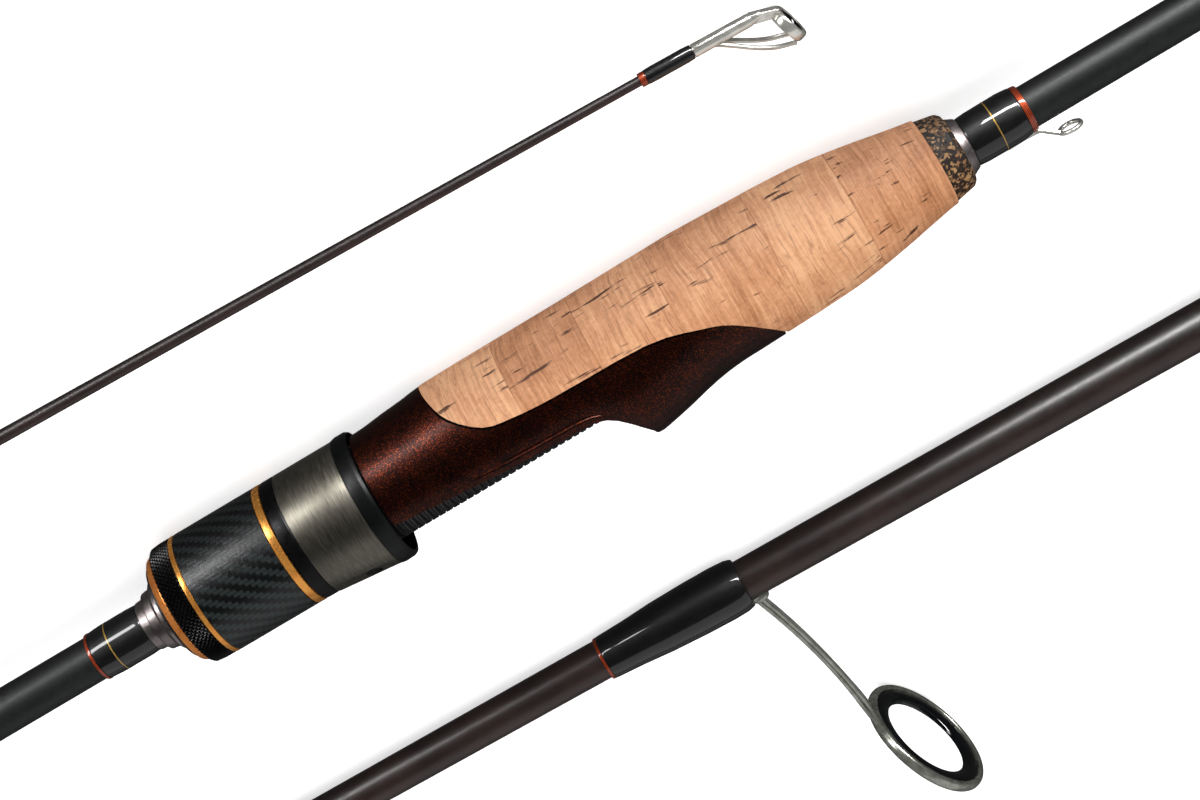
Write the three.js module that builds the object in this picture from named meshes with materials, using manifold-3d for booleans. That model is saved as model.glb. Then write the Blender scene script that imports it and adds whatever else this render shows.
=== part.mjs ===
// Three-piece take-down ice fishing rod, laid out in its three sections on a flat surface.
// Millimetres, +Z up, +X along the rod. The origin is under the middle of the layout.
import * as THREE from 'three';
import { mergeVertices } from 'three/addons/utils/BufferGeometryUtils.js';
import Module from 'manifold-3d';

const wasm = await Module();
wasm.setup();

// ---------------------------------------------------------------- driving dimensions

const SIDES = 24; // facets round a turned piece
const SLIM_SIDES = 16; // facets round one slimmer than SLIM_RADIUS
const SLIM_RADIUS = 7.15;
const RUNNING = 0.3; // clearance between pieces that slide, turn or are cut by each other
const GLUE_LINE = 0.15; // radial gap between a binding or a sleeve and what it is glued to

// Blank of the handle section. Its datum x = 0 lies behind the first binding.
const BUTT_END = -70;
const BLANK_REAR_RADIUS = 4.33;
const BLANK_FRONT_RADIUS = 4.0;
const BLANK_TAPER_START = 30;
const SHOULDER = 252; // where the handle's ferrule spigot starts
const SPIGOT_LENGTH = 38;
const SPIGOT_RADIUS = 3.65;

// Rear grip
const BUTT_CAP_LENGTH = 6;
const REAR_GRIP_RADIUS = 13.35;
const REAR_GRIP_FRONT_RADIUS = 9;
const REAR_CORK_LENGTH = 19;
const REAR_CORK_COUNT = 2;
const REAR_BURL_LENGTH = 5;
const REAR_CHECK_LENGTH = 3;
const CHECK_WALL = { thick: 1.4, thin: 0.5 }; // of the checks at the grips' ends, over their bore

// Reel seat, from the rear
const REAR_BINDING_START = 17.8;
const REAR_BINDING_LENGTH = 11.35;
const TRIM_WIDTH = 0.6;
const BINDING_THICKNESS = 0.35;
const REAR_CHECK = { length: 5.6, walls: [0.6, 1.5, 2.9] }; // walls over the blank
const BARREL_RADIUS = 10.1; // crest of the barrel's thread
const BARREL_BORE = 7.2;
const BARREL_LENGTH = 117.3;
const BARREL_SLOT = { width: 3, depth: 1.4 };
const FOOT_FLAT = { depth: 0.35, length: 62, behind: 10 }; // milled flat the reel foot beds on
const HOOD_TRAVEL = 6; // forward slide of the hood, from fully open

// Lock nut: its rings' lengths and outer radii, rear to front
const NUT_CORE_RADIUS = BARREL_RADIUS + 1;
const NUT_RADIUS = NUT_CORE_RADIUS + 1.1;
const NUT_REAR_FLANGE = { length: 1.4, small: NUT_CORE_RADIUS - 0.5, large: NUT_CORE_RADIUS + 0.3 };
const NUT_RINGS = [
  { name: 'nut_knurled_ring', length: 4.2, rear: NUT_REAR_FLANGE.large },
  { name: 'nut_thin_ring', length: 1.0, rear: NUT_RADIUS },
  { name: 'nut_carbon_sleeve', length: 16.9, rear: NUT_RADIUS },
  { name: 'nut_collar_ring', length: 1.6, rear: NUT_RADIUS },
  { name: 'nut_front_ring', length: 3.0, rear: NUT_RADIUS },
];

// Sliding hood: depth is measured from the axis towards the reel
const HOOD_LENGTH = 12.5;
const HOOD_WALL = 0.5;
const HOOD_REAR_WALL = 1.4;
const HOOD_REAR_DEPTH = NUT_RADIUS + 0.1;
const HOOD_FRONT_DEPTH = NUT_RADIUS + 1.3;
const LIP_LENGTH = 3.2;
const LIP_RADIUS = NUT_RADIUS + 0.3;
const LIP_DEPTH = NUT_RADIUS + 1.5;
const HOOD_PIN = { radius: 1.45, fromFront: 4.7, around: 73 };
const HOOD_KEY = { length: 7, width: 2.4 };

// Seat body and fixed hood, measured from the open hood's front edge
const BODY_LENGTH = 78.3;
const BODY_SHAPE = [
  // along, wall over the barrel round the back, wall over it towards the reel
  [0, 1.15, 1.15], [3.3, 1.3, 1.3], [7.3, 1.75, 1.75], [11.6, 2.1, 2.1], [16, 2.6, 2.6],
  [24, 2.8, 2.8], [34, 2.85, 2.85], [44, 2.9, 4.5], [49.6, 3, 6.8], [57, 3.1, 5.5],
  [61.1, 3.15, 4.5], [65.3, 3.2, 3.7], [69.4, 3.23, 3.3], [BODY_LENGTH, 2.95, 3],
];
// Edge of the open channel that the reel foot lies in, and of the fixed hood's mouth: along, height
const CHANNEL_EDGE = [[0, -7], [24, -8.8], [41, -9.4], [44.6, -11.2], [49, -16.1]];
// Pocket inside the fixed hood for the front of the reel foot: along, half width, depth past the barrel
const POCKET = [[38, 9.5, 0.9], [44, 9.5, 3], [49.4, 9.5, 5.5], [57, 9.2, 4.1], [60, 8.4, 2.5]];
// Line where the brown body gives way to cork: along, height
const CORK_LINE = [
  [15.6, 13.5], [16.6, 9], [18.6, 4.3], [23.4, -0.1], [29, -1.3], [37, -1.9], [55.6, -2.3],
  [65.1, -4.6], [71.1, -7], [78.4, -12.7], [79.6, -14.2],
];

// Front grip, cork rings from the rear: joints measured from the open hood's front edge
const CORK_START = 15.6;
const CORK_RING_LENGTHS = [15.5, 16.1, 16, 20.4, 16.3, 16.9];
const GRIP_SHAPE = [
  // along, radius
  [15.6, 12.75], [24, 12.9], [44, 13], [58, 13.2], [69.4, 13.35], [78, 13.05], [85.6, 12.8],
  [90.1, 12.55], [94.2, 12.3], [98.3, 11.8], [102.6, 11.1], [106.6, 10.4], [110.6, 9.6],
  [114.9, 8.8], [119, 8.2],
];
const FRONT_BURL = { length: 4.8, rear: 8.2, front: 7.0 };
const FRONT_CHECK_LENGTH = 1.8;
const FRONT_BINDING_LENGTH = 11;

// Hook keeper: a wire eye on a two-wire stem, its foot tucked under the front binding
const KEEPER = { wire: 0.42, eye: 2.1, reach: 2.75, forward: 5.2, foot: 5, tilt: 20 };

// Middle and tip sections. x is measured along each from the handle's datum.
const SOCKET_LENGTH = 38;
const SOCKET_CLEARANCE = 0.3;
const SLEEVE_WALL = 0.95;
const GLUED_SPIGOT = 10;
const MIDDLE = { tip: -60, butt: 300, tipRadius: 3.7, spigotRadius: 3.1, spigot: 36 };
const TIP = { butt: -173, end: 172, buttRadius: 1.72, endRadius: 0.87, sleeveFront: 2.6 };

// Guides: x is the foot of the leg, standoff the ring centre's distance from the blank's axis
const GUIDES = [
  {
    name: 'guide_1', x: 125.5, standoff: 59.6, ring: 14.9, hole: 9.9, wall: 3.4, band: 2.4, footing: 29,
    legLean: 14, ringLean: 30, ringTurn: 6, rail: 0.95, railGap: 0.9, thick: 0.6, bow: 1.2,
    bindingTurns: 33, trimmed: true,
  },
  {
    name: 'guide_2', x: -15, standoff: 27, ring: 9, hole: 5.8, wall: 1.9, band: 1.8, footing: 18,
    legLean: 18, ringLean: 28, ringTurn: 4, rail: 0.8, railGap: 0.6, thick: 0.5, bow: 0.6,
    bindingTurns: 21, trimmed: true,
  },
  {
    name: 'guide_3', x: -95, standoff: 13, ring: 5, hole: 3.1, wall: 0.9, band: 1.3, footing: 10,
    legLean: 25, ringLean: 20, ringTurn: 0, rail: 0.6, railGap: 0.3, thick: 0.4, bow: 0, bindingTurns: 13,
  },
  {
    name: 'guide_4', x: 5, standoff: 9.5, ring: 4, hole: 2.3, wall: 0.8, band: 1.2, footing: 8,
    legLean: 25, ringLean: 20, ringTurn: 0, rail: 0.5, railGap: 0.3, thick: 0.4, bow: 0, bindingTurns: 11,
  },
];

// Tip-top: a tube pushed on the blank's end, with a ring held by a slotted frame
const TIP_TOP = {
  tube: 13.3, tubeRadius: 0.95, tubeFlare: 1.2, ring: 3.65, hole: 1.9, band: 2.2,
  centreAhead: 4.6, standoff: 4.56, brace: 0.45, braceStart: 3.6, tilt: 22,
};
const TIP_BINDING = { length: 9.3, radius: 1.4 };

// Layout on the surface: roll of the handle, and each section's turn and distance from the handle
const HANDLE_ROLL = 40; // how far the reel side is turned up from lying flat
const MIDDLE_YAW = -1.34;
const TIP_YAW = -2.22;
const MIDDLE_ASIDE = -74.9;
const MIDDLE_PIVOT = 129;
const TIP_ASIDE = 41.6;
const TIP_PIVOT = 168.5;

// ---------------------------------------------------------------- materials

const finish = (color, roughness, metalness) =>
  new THREE.MeshStandardMaterial({ color, roughness, metalness });

const BLANK = finish('#171716', 0.6, 0.1);
const BINDING = finish('#08080a', 0.15, 0.1);
const TRIM = finish('#b5401f', 0.3, 0.8);
const CHECK = finish('#6b6262', 0.45, 0.8);
const COPPER = finish('#c8742a', 0.3, 0.9);
const GOLD = finish('#b8862f', 0.3, 0.9);
const KNURL = finish('#121212', 0.5, 0.6);
const CARBON = finish('#2b2b2e', 0.3, 0.3);
const NUT_BLACK = finish('#101012', 0.35, 0.5);
const HOOD = finish('#5a564d', 0.35, 0.95);
const LIP = finish('#0e1012', 0.4, 0.3);
const SEAT_BROWN = finish('#3a1710', 0.35, 0.4);
const SEAT_BLACK = finish('#101010', 0.4, 0.1);
const CORK = finish('#d2a074', 0.85, 0);
const BURL = finish('#6a4a33', 0.85, 0);
const RUBBER = finish('#18181a', 0.8, 0);
const STEEL = finish('#c8c6c0', 0.2, 1);
const GUNMETAL = finish('#4a4a4c', 0.3, 0.9);
const CERAMIC = finish('#141c22', 0.12, 0.1);
const ARBOR = finish('#8a8a80', 0.8, 0);

// ---------------------------------------------------------------- shape helpers

const radians = THREE.MathUtils.degToRad;

function piece(section, name, geometry, material) {
  const mesh = new THREE.Mesh(geometry, material);
  mesh.name = name;
  section.add(mesh);
}

// Reads a [along, value] table at one place along it.
function read(table, along, column = 1) {
  if (along <= table[0][0]) return table[0][column];
  for (let i = 1; i < table.length; i += 1) {
    const [low, high] = [table[i - 1], table[i]];
    if (along <= high[0]) {
      return THREE.MathUtils.mapLinear(along, low[0], high[0], low[column], high[column]);
    }
  }
  return table[table.length - 1][column];
}

// A solid of revolution about X. Its [x, radius] corners close on themselves, or start and end on the axis.
function turned(corners) {
  const widest = Math.max(...corners.map(([, radius]) => radius));
  const sides = widest > SLIM_RADIUS ? SIDES : SLIM_SIDES;
  const outline = corners.map(([x, radius]) => new THREE.Vector2(radius, x));
  if (THREE.ShapeUtils.area(outline) < 0) outline.reverse();
  if (outline[0].x > 0) outline.push(outline[0].clone());
  return new THREE.LatheGeometry(outline, sides).rotateZ(-Math.PI / 2);
}

// A plain ring or tube from x to x + length.
function ring(x, length, bore, rear, front = rear) {
  return turned([[x, bore], [x + length, bore], [x + length, front], [x, rear]]);
}

function indexed(positions, index) {
  const geometry = new THREE.BufferGeometry();
  geometry.setAttribute('position', new THREE.Float32BufferAttribute(positions, 3));
  geometry.setIndex(index);
  geometry.computeVertexNormals();
  return geometry;
}

// A closed skin through sections [x, radius, depth]: round above the axis, as deep as asked below it.
function lofted(stations, sides = SIDES) {
  const positions = [];
  const index = [];
  for (const [x, radius, depth] of stations) {
    for (let i = 0; i < sides; i += 1) {
      const angle = (i / sides) * 2 * Math.PI;
      const height = Math.cos(angle);
      positions.push(x, radius * Math.sin(angle), height * (height > 0 ? radius : depth));
    }
  }
  for (let s = 0; s < stations.length - 1; s += 1) {
    for (let i = 0; i < sides; i += 1) {
      const [a, b] = [s * sides + i, s * sides + ((i + 1) % sides)];
      index.push(a, a + sides, b, b, a + sides, b + sides);
    }
  }
  const last = (stations.length - 1) * sides;
  const centres = positions.length / 3;
  positions.push(stations[0][0], 0, 0, stations[stations.length - 1][0], 0, 0);
  for (let i = 0; i < sides; i += 1) {
    const next = (i + 1) % sides;
    index.push(centres, i, next, centres + 1, last + next, last + i);
  }
  return indexed(positions, index);
}

// A block between two four-cornered ends, both listed the same way round.
function block(near, far) {
  const positions = [...near, ...far].flat();
  const index = [0, 2, 1, 0, 3, 2, 4, 5, 6, 4, 6, 7];
  for (let i = 0; i < 4; i += 1) {
    const next = (i + 1) % 4;
    index.push(i, next, next + 4, i, next + 4, i + 4);
  }
  const geometry = indexed(positions, index);
  const inward = new THREE.Vector3(...near[1]).sub(new THREE.Vector3(...near[0]))
    .cross(new THREE.Vector3(...near[3]).sub(new THREE.Vector3(...near[0])))
    .dot(new THREE.Vector3(...far[0]).sub(new THREE.Vector3(...near[0]))) < 0;
  if (inward) geometry.setIndex([...index].reverse());
  return geometry;
}

// An outline of [x, z] corners pushed through Y to the asked width.
function sidePlate(corners, width) {
  const shape = new THREE.Shape(corners.map(([x, z]) => new THREE.Vector2(x, z)));
  const plate = new THREE.ExtrudeGeometry(shape, { depth: width, bevelEnabled: false });
  return plate.rotateX(Math.PI / 2).translate(0, width / 2, 0);
}

function wire(points, radius) {
  const path = new THREE.CatmullRomCurve3(points.map((point) => new THREE.Vector3(...point)));
  const round = new THREE.Shape().absarc(0, 0, radius, 0, 2 * Math.PI);
  return new THREE.ExtrudeGeometry(round, {
    steps: 3 * points.length, curveSegments: 4, bevelEnabled: false, extrudePath: path,
  });
}

function solid(geometry) {
  const bare = geometry.clone();
  bare.deleteAttribute('normal');
  bare.deleteAttribute('uv');
  const merged = mergeVertices(bare, 1e-4);
  const corners = merged.index.array;
  const kept = [];
  for (let i = 0; i < corners.length; i += 3) {
    const [a, b, c] = [corners[i], corners[i + 1], corners[i + 2]];
    if (a !== b && b !== c && c !== a) kept.push(a, b, c);
  }
  return new wasm.Manifold(new wasm.Mesh({
    numProp: 3,
    vertProperties: new Float32Array(merged.attributes.position.array),
    triVerts: new Uint32Array(kept),
  }));
}

function surface(body) {
  const { vertProperties, triVerts } = body.getMesh();
  return indexed(Array.from(vertProperties), Array.from(triVerts));
}

const cut = (geometry, ...cutters) =>
  surface(cutters.reduce((rest, cutter) => rest.subtract(solid(cutter)), solid(geometry)));
const join = (...geometries) =>
  surface(geometries.map(solid).reduce((whole, part) => whole.add(part)));

// ---------------------------------------------------------------- handle section

const handle = new THREE.Group();

const blankRadius = (x) =>
  read([[BLANK_TAPER_START, BLANK_REAR_RADIUS], [SHOULDER, BLANK_FRONT_RADIUS]], x);
const blankBore = BLANK_REAR_RADIUS + RUNNING;

function makeBlank() {
  const capFront = BUTT_END + BUTT_CAP_LENGTH;
  const end = SHOULDER + SPIGOT_LENGTH;
  piece(handle, 'handle_blank', turned([
    [capFront + RUNNING, 0], [capFront + RUNNING, BLANK_REAR_RADIUS],
    [BLANK_TAPER_START, BLANK_REAR_RADIUS], [SHOULDER, BLANK_FRONT_RADIUS],
    [SHOULDER, SPIGOT_RADIUS], [end - 1, SPIGOT_RADIUS], [end, SPIGOT_RADIUS - 0.6], [end, 0],
  ]), BLANK);
}

function makeRearGrip() {
  let x = BUTT_END;
  piece(handle, 'butt_cap', turned([
    [x, 0], [x, REAR_GRIP_RADIUS - 4], [x + 1.2, REAR_GRIP_RADIUS - 1.6],
    [x + 3.5, REAR_GRIP_RADIUS - 0.3], [x + BUTT_CAP_LENGTH, REAR_GRIP_RADIUS],
    [x + BUTT_CAP_LENGTH, 0],
  ]), RUBBER);
  x += BUTT_CAP_LENGTH;
  const corkEnd = x + REAR_CORK_COUNT * REAR_CORK_LENGTH;
  const swell = (at) => THREE.MathUtils.lerp(REAR_GRIP_RADIUS, REAR_GRIP_FRONT_RADIUS,
    THREE.MathUtils.smoothstep(at, BUTT_END + BUTT_CAP_LENGTH + 6, corkEnd));
  for (let i = 1; i <= REAR_CORK_COUNT; i += 1) {
    const outer = [0, 0.33, 0.67, 1].map((share) => {
      const at = x + share * REAR_CORK_LENGTH;
      return [at, swell(at)];
    });
    const bore = [[x + REAR_CORK_LENGTH, blankBore], [x, blankBore]];
    piece(handle, `rear_cork_ring_${i}`, turned([...outer, ...bore]), CORK);
    x += REAR_CORK_LENGTH;
  }
  piece(handle, 'rear_burl_ring',
    ring(x, REAR_BURL_LENGTH, blankBore, REAR_GRIP_FRONT_RADIUS, REAR_GRIP_FRONT_RADIUS - 1.4), BURL);
  x += REAR_BURL_LENGTH;
  piece(handle, 'rear_grip_check', ring(x, REAR_CHECK_LENGTH, blankBore,
    blankBore + CHECK_WALL.thick, blankBore + CHECK_WALL.thin), CHECK);
}

const bindingEnd = REAR_BINDING_START + REAR_BINDING_LENGTH;
const barrelStart = bindingEnd + REAR_CHECK.length;
const nutStart = barrelStart + 0.7;
const hoodStart = nutStart + NUT_REAR_FLANGE.length
  + NUT_RINGS.reduce((sum, band) => sum + band.length, 0);
const lipStart = hoodStart + HOOD_LENGTH;
const seatDatum = lipStart + LIP_LENGTH; // front edge of the open hood
const barrelEnd = barrelStart + BARREL_LENGTH;
const barrelBore = BARREL_RADIUS + RUNNING;
const frontBore = blankRadius(barrelEnd) + RUNNING; // of all that sits on the blank ahead of the barrel

function makeSeatRear() {
  piece(handle, 'rear_trim_band',
    ring(REAR_BINDING_START, TRIM_WIDTH, BLANK_REAR_RADIUS + GLUE_LINE,
      BLANK_REAR_RADIUS + GLUE_LINE + BINDING_THICKNESS), TRIM);
  piece(handle, 'rear_binding',
    ring(REAR_BINDING_START + TRIM_WIDTH, REAR_BINDING_LENGTH - TRIM_WIDTH,
      BLANK_REAR_RADIUS + GLUE_LINE, BLANK_REAR_RADIUS + GLUE_LINE + BINDING_THICKNESS), BINDING);
  const [small, middle, large] = REAR_CHECK.walls.map((wall) => BLANK_REAR_RADIUS + wall);
  const step = REAR_CHECK.length / 3;
  piece(handle, 'seat_rear_check', turned([
    [bindingEnd, small], [bindingEnd + step, middle], [bindingEnd + 2 * step, middle + 0.3],
    [bindingEnd + 2.4 * step, large], [barrelStart, large], [barrelStart, blankBore],
    [bindingEnd, blankBore],
  ]), CHECK);
}

function makeBarrel() {
  const tube = ring(barrelStart, BARREL_LENGTH, BARREL_BORE, BARREL_RADIUS);
  const slotFloor = BARREL_RADIUS - BARREL_SLOT.depth;
  const slot = sidePlate([
    [hoodStart, slotFloor], [seatDatum + HOOD_TRAVEL, slotFloor],
    [seatDatum + HOOD_TRAVEL, BARREL_RADIUS + 1], [hoodStart, BARREL_RADIUS + 1],
  ], BARREL_SLOT.width);
  const flatStart = seatDatum - FOOT_FLAT.behind;
  const flatLevel = FOOT_FLAT.depth - BARREL_RADIUS;
  const flat = sidePlate([
    [flatStart, flatLevel], [flatStart + FOOT_FLAT.length, flatLevel],
    [flatStart + FOOT_FLAT.length, flatLevel - 2], [flatStart, flatLevel - 2],
  ], 2 * BARREL_RADIUS);
  piece(handle, 'seat_barrel', cut(tube, slot, flat), SEAT_BLACK);
  const arbor = BARREL_BORE - GLUE_LINE;
  piece(handle, 'rear_arbor', ring(barrelStart + 4, 22, blankBore, arbor), ARBOR);
  piece(handle, 'middle_arbor', ring(barrelStart + 46, 22, blankBore, arbor), ARBOR);
  piece(handle, 'front_arbor', ring(barrelEnd - 26, 22, blankBore, arbor), ARBOR);
}

function makeLockNut() {
  const flangeEnd = nutStart + NUT_REAR_FLANGE.length;
  piece(handle, 'nut_core', turned([
    [nutStart, barrelBore], [hoodStart, barrelBore], [hoodStart, NUT_CORE_RADIUS],
    [flangeEnd, NUT_CORE_RADIUS], [flangeEnd, NUT_REAR_FLANGE.large],
    [nutStart, NUT_REAR_FLANGE.small],
  ]), COPPER);
  const looks = [KNURL, GOLD, CARBON, GOLD, NUT_BLACK];
  let x = flangeEnd;
  NUT_RINGS.forEach(({ name, length, rear }, i) => {
    piece(handle, name, ring(x, length, NUT_CORE_RADIUS + GLUE_LINE, rear, NUT_RADIUS), looks[i]);
    x += length;
  });
}

function makeHood() {
  const depthAt = (x) =>
    THREE.MathUtils.mapLinear(x, hoodStart, lipStart, HOOD_REAR_DEPTH, HOOD_FRONT_DEPTH);
  const inside = hoodStart + HOOD_REAR_WALL;
  const outer = lofted([
    [hoodStart, NUT_RADIUS, HOOD_REAR_DEPTH], [lipStart, NUT_RADIUS, HOOD_FRONT_DEPTH],
  ]);
  const hollow = lofted([
    [inside, NUT_RADIUS - HOOD_WALL, depthAt(inside) - HOOD_WALL],
    [lipStart + 1, NUT_RADIUS - HOOD_WALL, depthAt(lipStart + 1) - HOOD_WALL],
  ]);
  const bore = turned([
    [hoodStart - 1, 0], [hoodStart - 1, barrelBore], [inside + 1, barrelBore], [inside + 1, 0],
  ]);

  const pinX = lipStart - HOOD_PIN.fromFront;
  const pinAngle = radians(90 - HOOD_PIN.around);
  const across = (radius, from, to) => {
    const rod = turned([[from, 0], [from, radius], [to, radius], [to, 0]]);
    return rod.rotateY(Math.PI / 2).rotateX(-pinAngle).translate(pinX, 0, 0);
  };
  const pinHead = depthAt(pinX);
  piece(handle, 'hood_shell',
    cut(outer, hollow, bore, across(HOOD_PIN.radius + RUNNING, pinHead - 3, pinHead + 3)), HOOD);
  piece(handle, 'hood_pin', across(HOOD_PIN.radius, pinHead - 1.2, pinHead), CHECK);

  const lipOuter = lofted([
    [lipStart, LIP_RADIUS - 0.2, LIP_DEPTH - 0.1], [lipStart + 1, LIP_RADIUS, LIP_DEPTH],
    [seatDatum, LIP_RADIUS - 0.1, LIP_DEPTH - 0.2],
  ]);
  const lipHollow = lofted([
    [lipStart - 1, LIP_RADIUS - HOOD_WALL, LIP_DEPTH - 2 * HOOD_WALL],
    [seatDatum + 1, LIP_RADIUS - HOOD_WALL, LIP_DEPTH - 2 * HOOD_WALL],
  ]);
  piece(handle, 'hood_lip', cut(lipOuter, lipHollow), LIP);

  const keyFloor = BARREL_RADIUS - BARREL_SLOT.depth + RUNNING;
  const keyTop = (NUT_RADIUS - HOOD_WALL) * Math.cos(Math.PI / SIDES) - RUNNING;
  const keyStart = inside + RUNNING;
  piece(handle, 'hood_key', sidePlate([
    [keyStart, keyFloor], [keyStart + HOOD_KEY.length, keyFloor],
    [keyStart + HOOD_KEY.length, keyTop], [keyStart, keyTop],
  ], HOOD_KEY.width), CHECK);
}

const alongSeat = (table) => table.map(([along, ...rest]) => [seatDatum + along, ...rest]);
const corkLine = new THREE.SplineCurve(alongSeat(CORK_LINE).map(([x, z]) => new THREE.Vector2(x, z)))
  .getPoints(2 * CORK_LINE.length);

// Everything on one side of the cork line, moved off the line by the running clearance.
function corkLineCutter(side) {
  const shift = side * (RUNNING / 2);
  const line = corkLine.map((point) => [point.x + shift, point.y + shift]);
  const far = side * -30;
  const [first, last] = [line[0], line[line.length - 1]];
  const start = side > 0 ? [[seatDatum - 10, far], [seatDatum - 10, first[1]]] : [[first[0], far]];
  const end = side > 0 ? [[last[0], far]] : [[last[0] + 60, last[1]], [last[0] + 60, far]];
  return sidePlate([...start, ...line, ...end], 60);
}

const overBarrel = ([along, back, front]) => [along, BARREL_RADIUS + back, BARREL_RADIUS + front];

function makeSeatBody() {
  const shape = alongSeat(BODY_SHAPE.map(overBarrel));
  shape[0][0] += RUNNING;
  const skin = lofted(shape);
  const bore = turned([
    [seatDatum - 1, 0], [seatDatum - 1, barrelBore], [barrelEnd + RUNNING, barrelBore],
    [barrelEnd + RUNNING, frontBore], [seatDatum + BODY_LENGTH + 1, frontBore],
    [seatDatum + BODY_LENGTH + 1, 0],
  ]);
  const edge = alongSeat(CHANNEL_EDGE);
  const channel = sidePlate([
    [seatDatum - 1, edge[0][1]], ...edge, [edge[edge.length - 1][0] + 1, -20], [seatDatum - 1, -20],
  ], 60);
  const pocket = lofted(alongSeat(POCKET.map(([at, half, depth]) => [at, half, BARREL_RADIUS + depth])));
  piece(handle, 'seat_body', cut(skin, bore, channel, pocket, corkLineCutter(-1)), SEAT_BROWN);
}

function makeFrontGrip() {
  const below = corkLineCutter(1);
  let along = CORK_START;
  CORK_RING_LENGTHS.forEach((length, i) => {
    const end = along + length;
    const between = GRIP_SHAPE.map(([at]) => at).filter((at) => at > along + 0.5 && at < end - 0.5);
    const outer = [along, ...between, end].map((at) => [seatDatum + at, read(GRIP_SHAPE, at)]);
    const [x0, x1] = [seatDatum + along, seatDatum + end];
    const step = barrelEnd + RUNNING;
    const bore = x1 < step ? [[x1, barrelBore], [x0, barrelBore]]
      : x0 > step ? [[x1, frontBore], [x0, frontBore]]
        : [[x1, frontBore], [step, frontBore], [step, barrelBore], [x0, barrelBore]];
    const blankRing = turned([...outer, ...bore]);
    const crossesLine = x0 < corkLine[corkLine.length - 1].x;
    piece(handle, `cork_ring_${i + 1}`, crossesLine ? cut(blankRing, below) : blankRing, CORK);
    along = end;
  });

  let x = seatDatum + along;
  piece(handle, 'front_burl_ring', turned([
    [x, frontBore], [x, FRONT_BURL.rear], [x + FRONT_BURL.length - 0.8, FRONT_BURL.front + 0.4],
    [x + FRONT_BURL.length, FRONT_BURL.front - 0.4], [x + FRONT_BURL.length, frontBore],
  ]), BURL);
  x += FRONT_BURL.length;
  piece(handle, 'front_check',
    ring(x, FRONT_CHECK_LENGTH, frontBore, frontBore + CHECK_WALL.thick, frontBore + CHECK_WALL.thin),
    CHECK);
  x += FRONT_CHECK_LENGTH;

  const bore = blankRadius(x) + GLUE_LINE;
  const bindingRadius = bore + 2 * BINDING_THICKNESS;
  const front = x + FRONT_BINDING_LENGTH;
  const footTop = -(blankRadius(x) + GLUE_LINE);
  const groove = sidePlate([
    [front - KEEPER.foot - RUNNING, footTop + 0.5], [front + 2, footTop + 0.5],
    [front + 2, footTop - 4 * KEEPER.wire], [front - KEEPER.foot - RUNNING, footTop - 4 * KEEPER.wire],
  ], 2 * (2 * KEEPER.wire + RUNNING));
  piece(handle, 'front_binding',
    cut(ring(x, FRONT_BINDING_LENGTH, bore, bindingRadius - 0.1, bindingRadius), groove), BINDING);
  piece(handle, 'front_trim_band', cut(
    ring(front, 2 * TRIM_WIDTH, bore, bindingRadius - 0.1), groove.clone().translate(1, 0, 0)), TRIM);
  makeHookKeeper(front, footTop);
}

function makeHookKeeper(front, footTop) {
  const eyeX = front + KEEPER.forward + 1;
  const eyeZ = footTop - KEEPER.reach;
  const eye = new THREE.TorusGeometry(KEEPER.eye, KEEPER.wire, 8, 16)
    .rotateX(radians(KEEPER.tilt)).translate(eyeX, 0, eyeZ);
  const stem = (side) => wire([
    [front - KEEPER.foot, side * KEEPER.wire * 1.1, footTop - KEEPER.wire],
    [front, side * KEEPER.wire * 1.1, footTop - KEEPER.wire],
    [front + 1.4, side * KEEPER.wire * 1.1, footTop - KEEPER.wire - 0.25],
    [front + 2.6, side * KEEPER.wire * 1.1, (footTop + eyeZ) / 2 - 0.2],
    [eyeX - KEEPER.eye, side * KEEPER.wire * 0.9, eyeZ],
  ], KEEPER.wire);
  const bridge = sidePlate([
    [front + 1.2, footTop - 0.5], [front + 1.2, footTop - 0.8], [front + 1.5, footTop - 0.8],
    [front + 1.5, footTop - 0.5],
  ], 2 * KEEPER.wire);
  piece(handle, 'hook_keeper', join(eye, stem(1), stem(-1), bridge), STEEL);
}

// ---------------------------------------------------------------- guides

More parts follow.
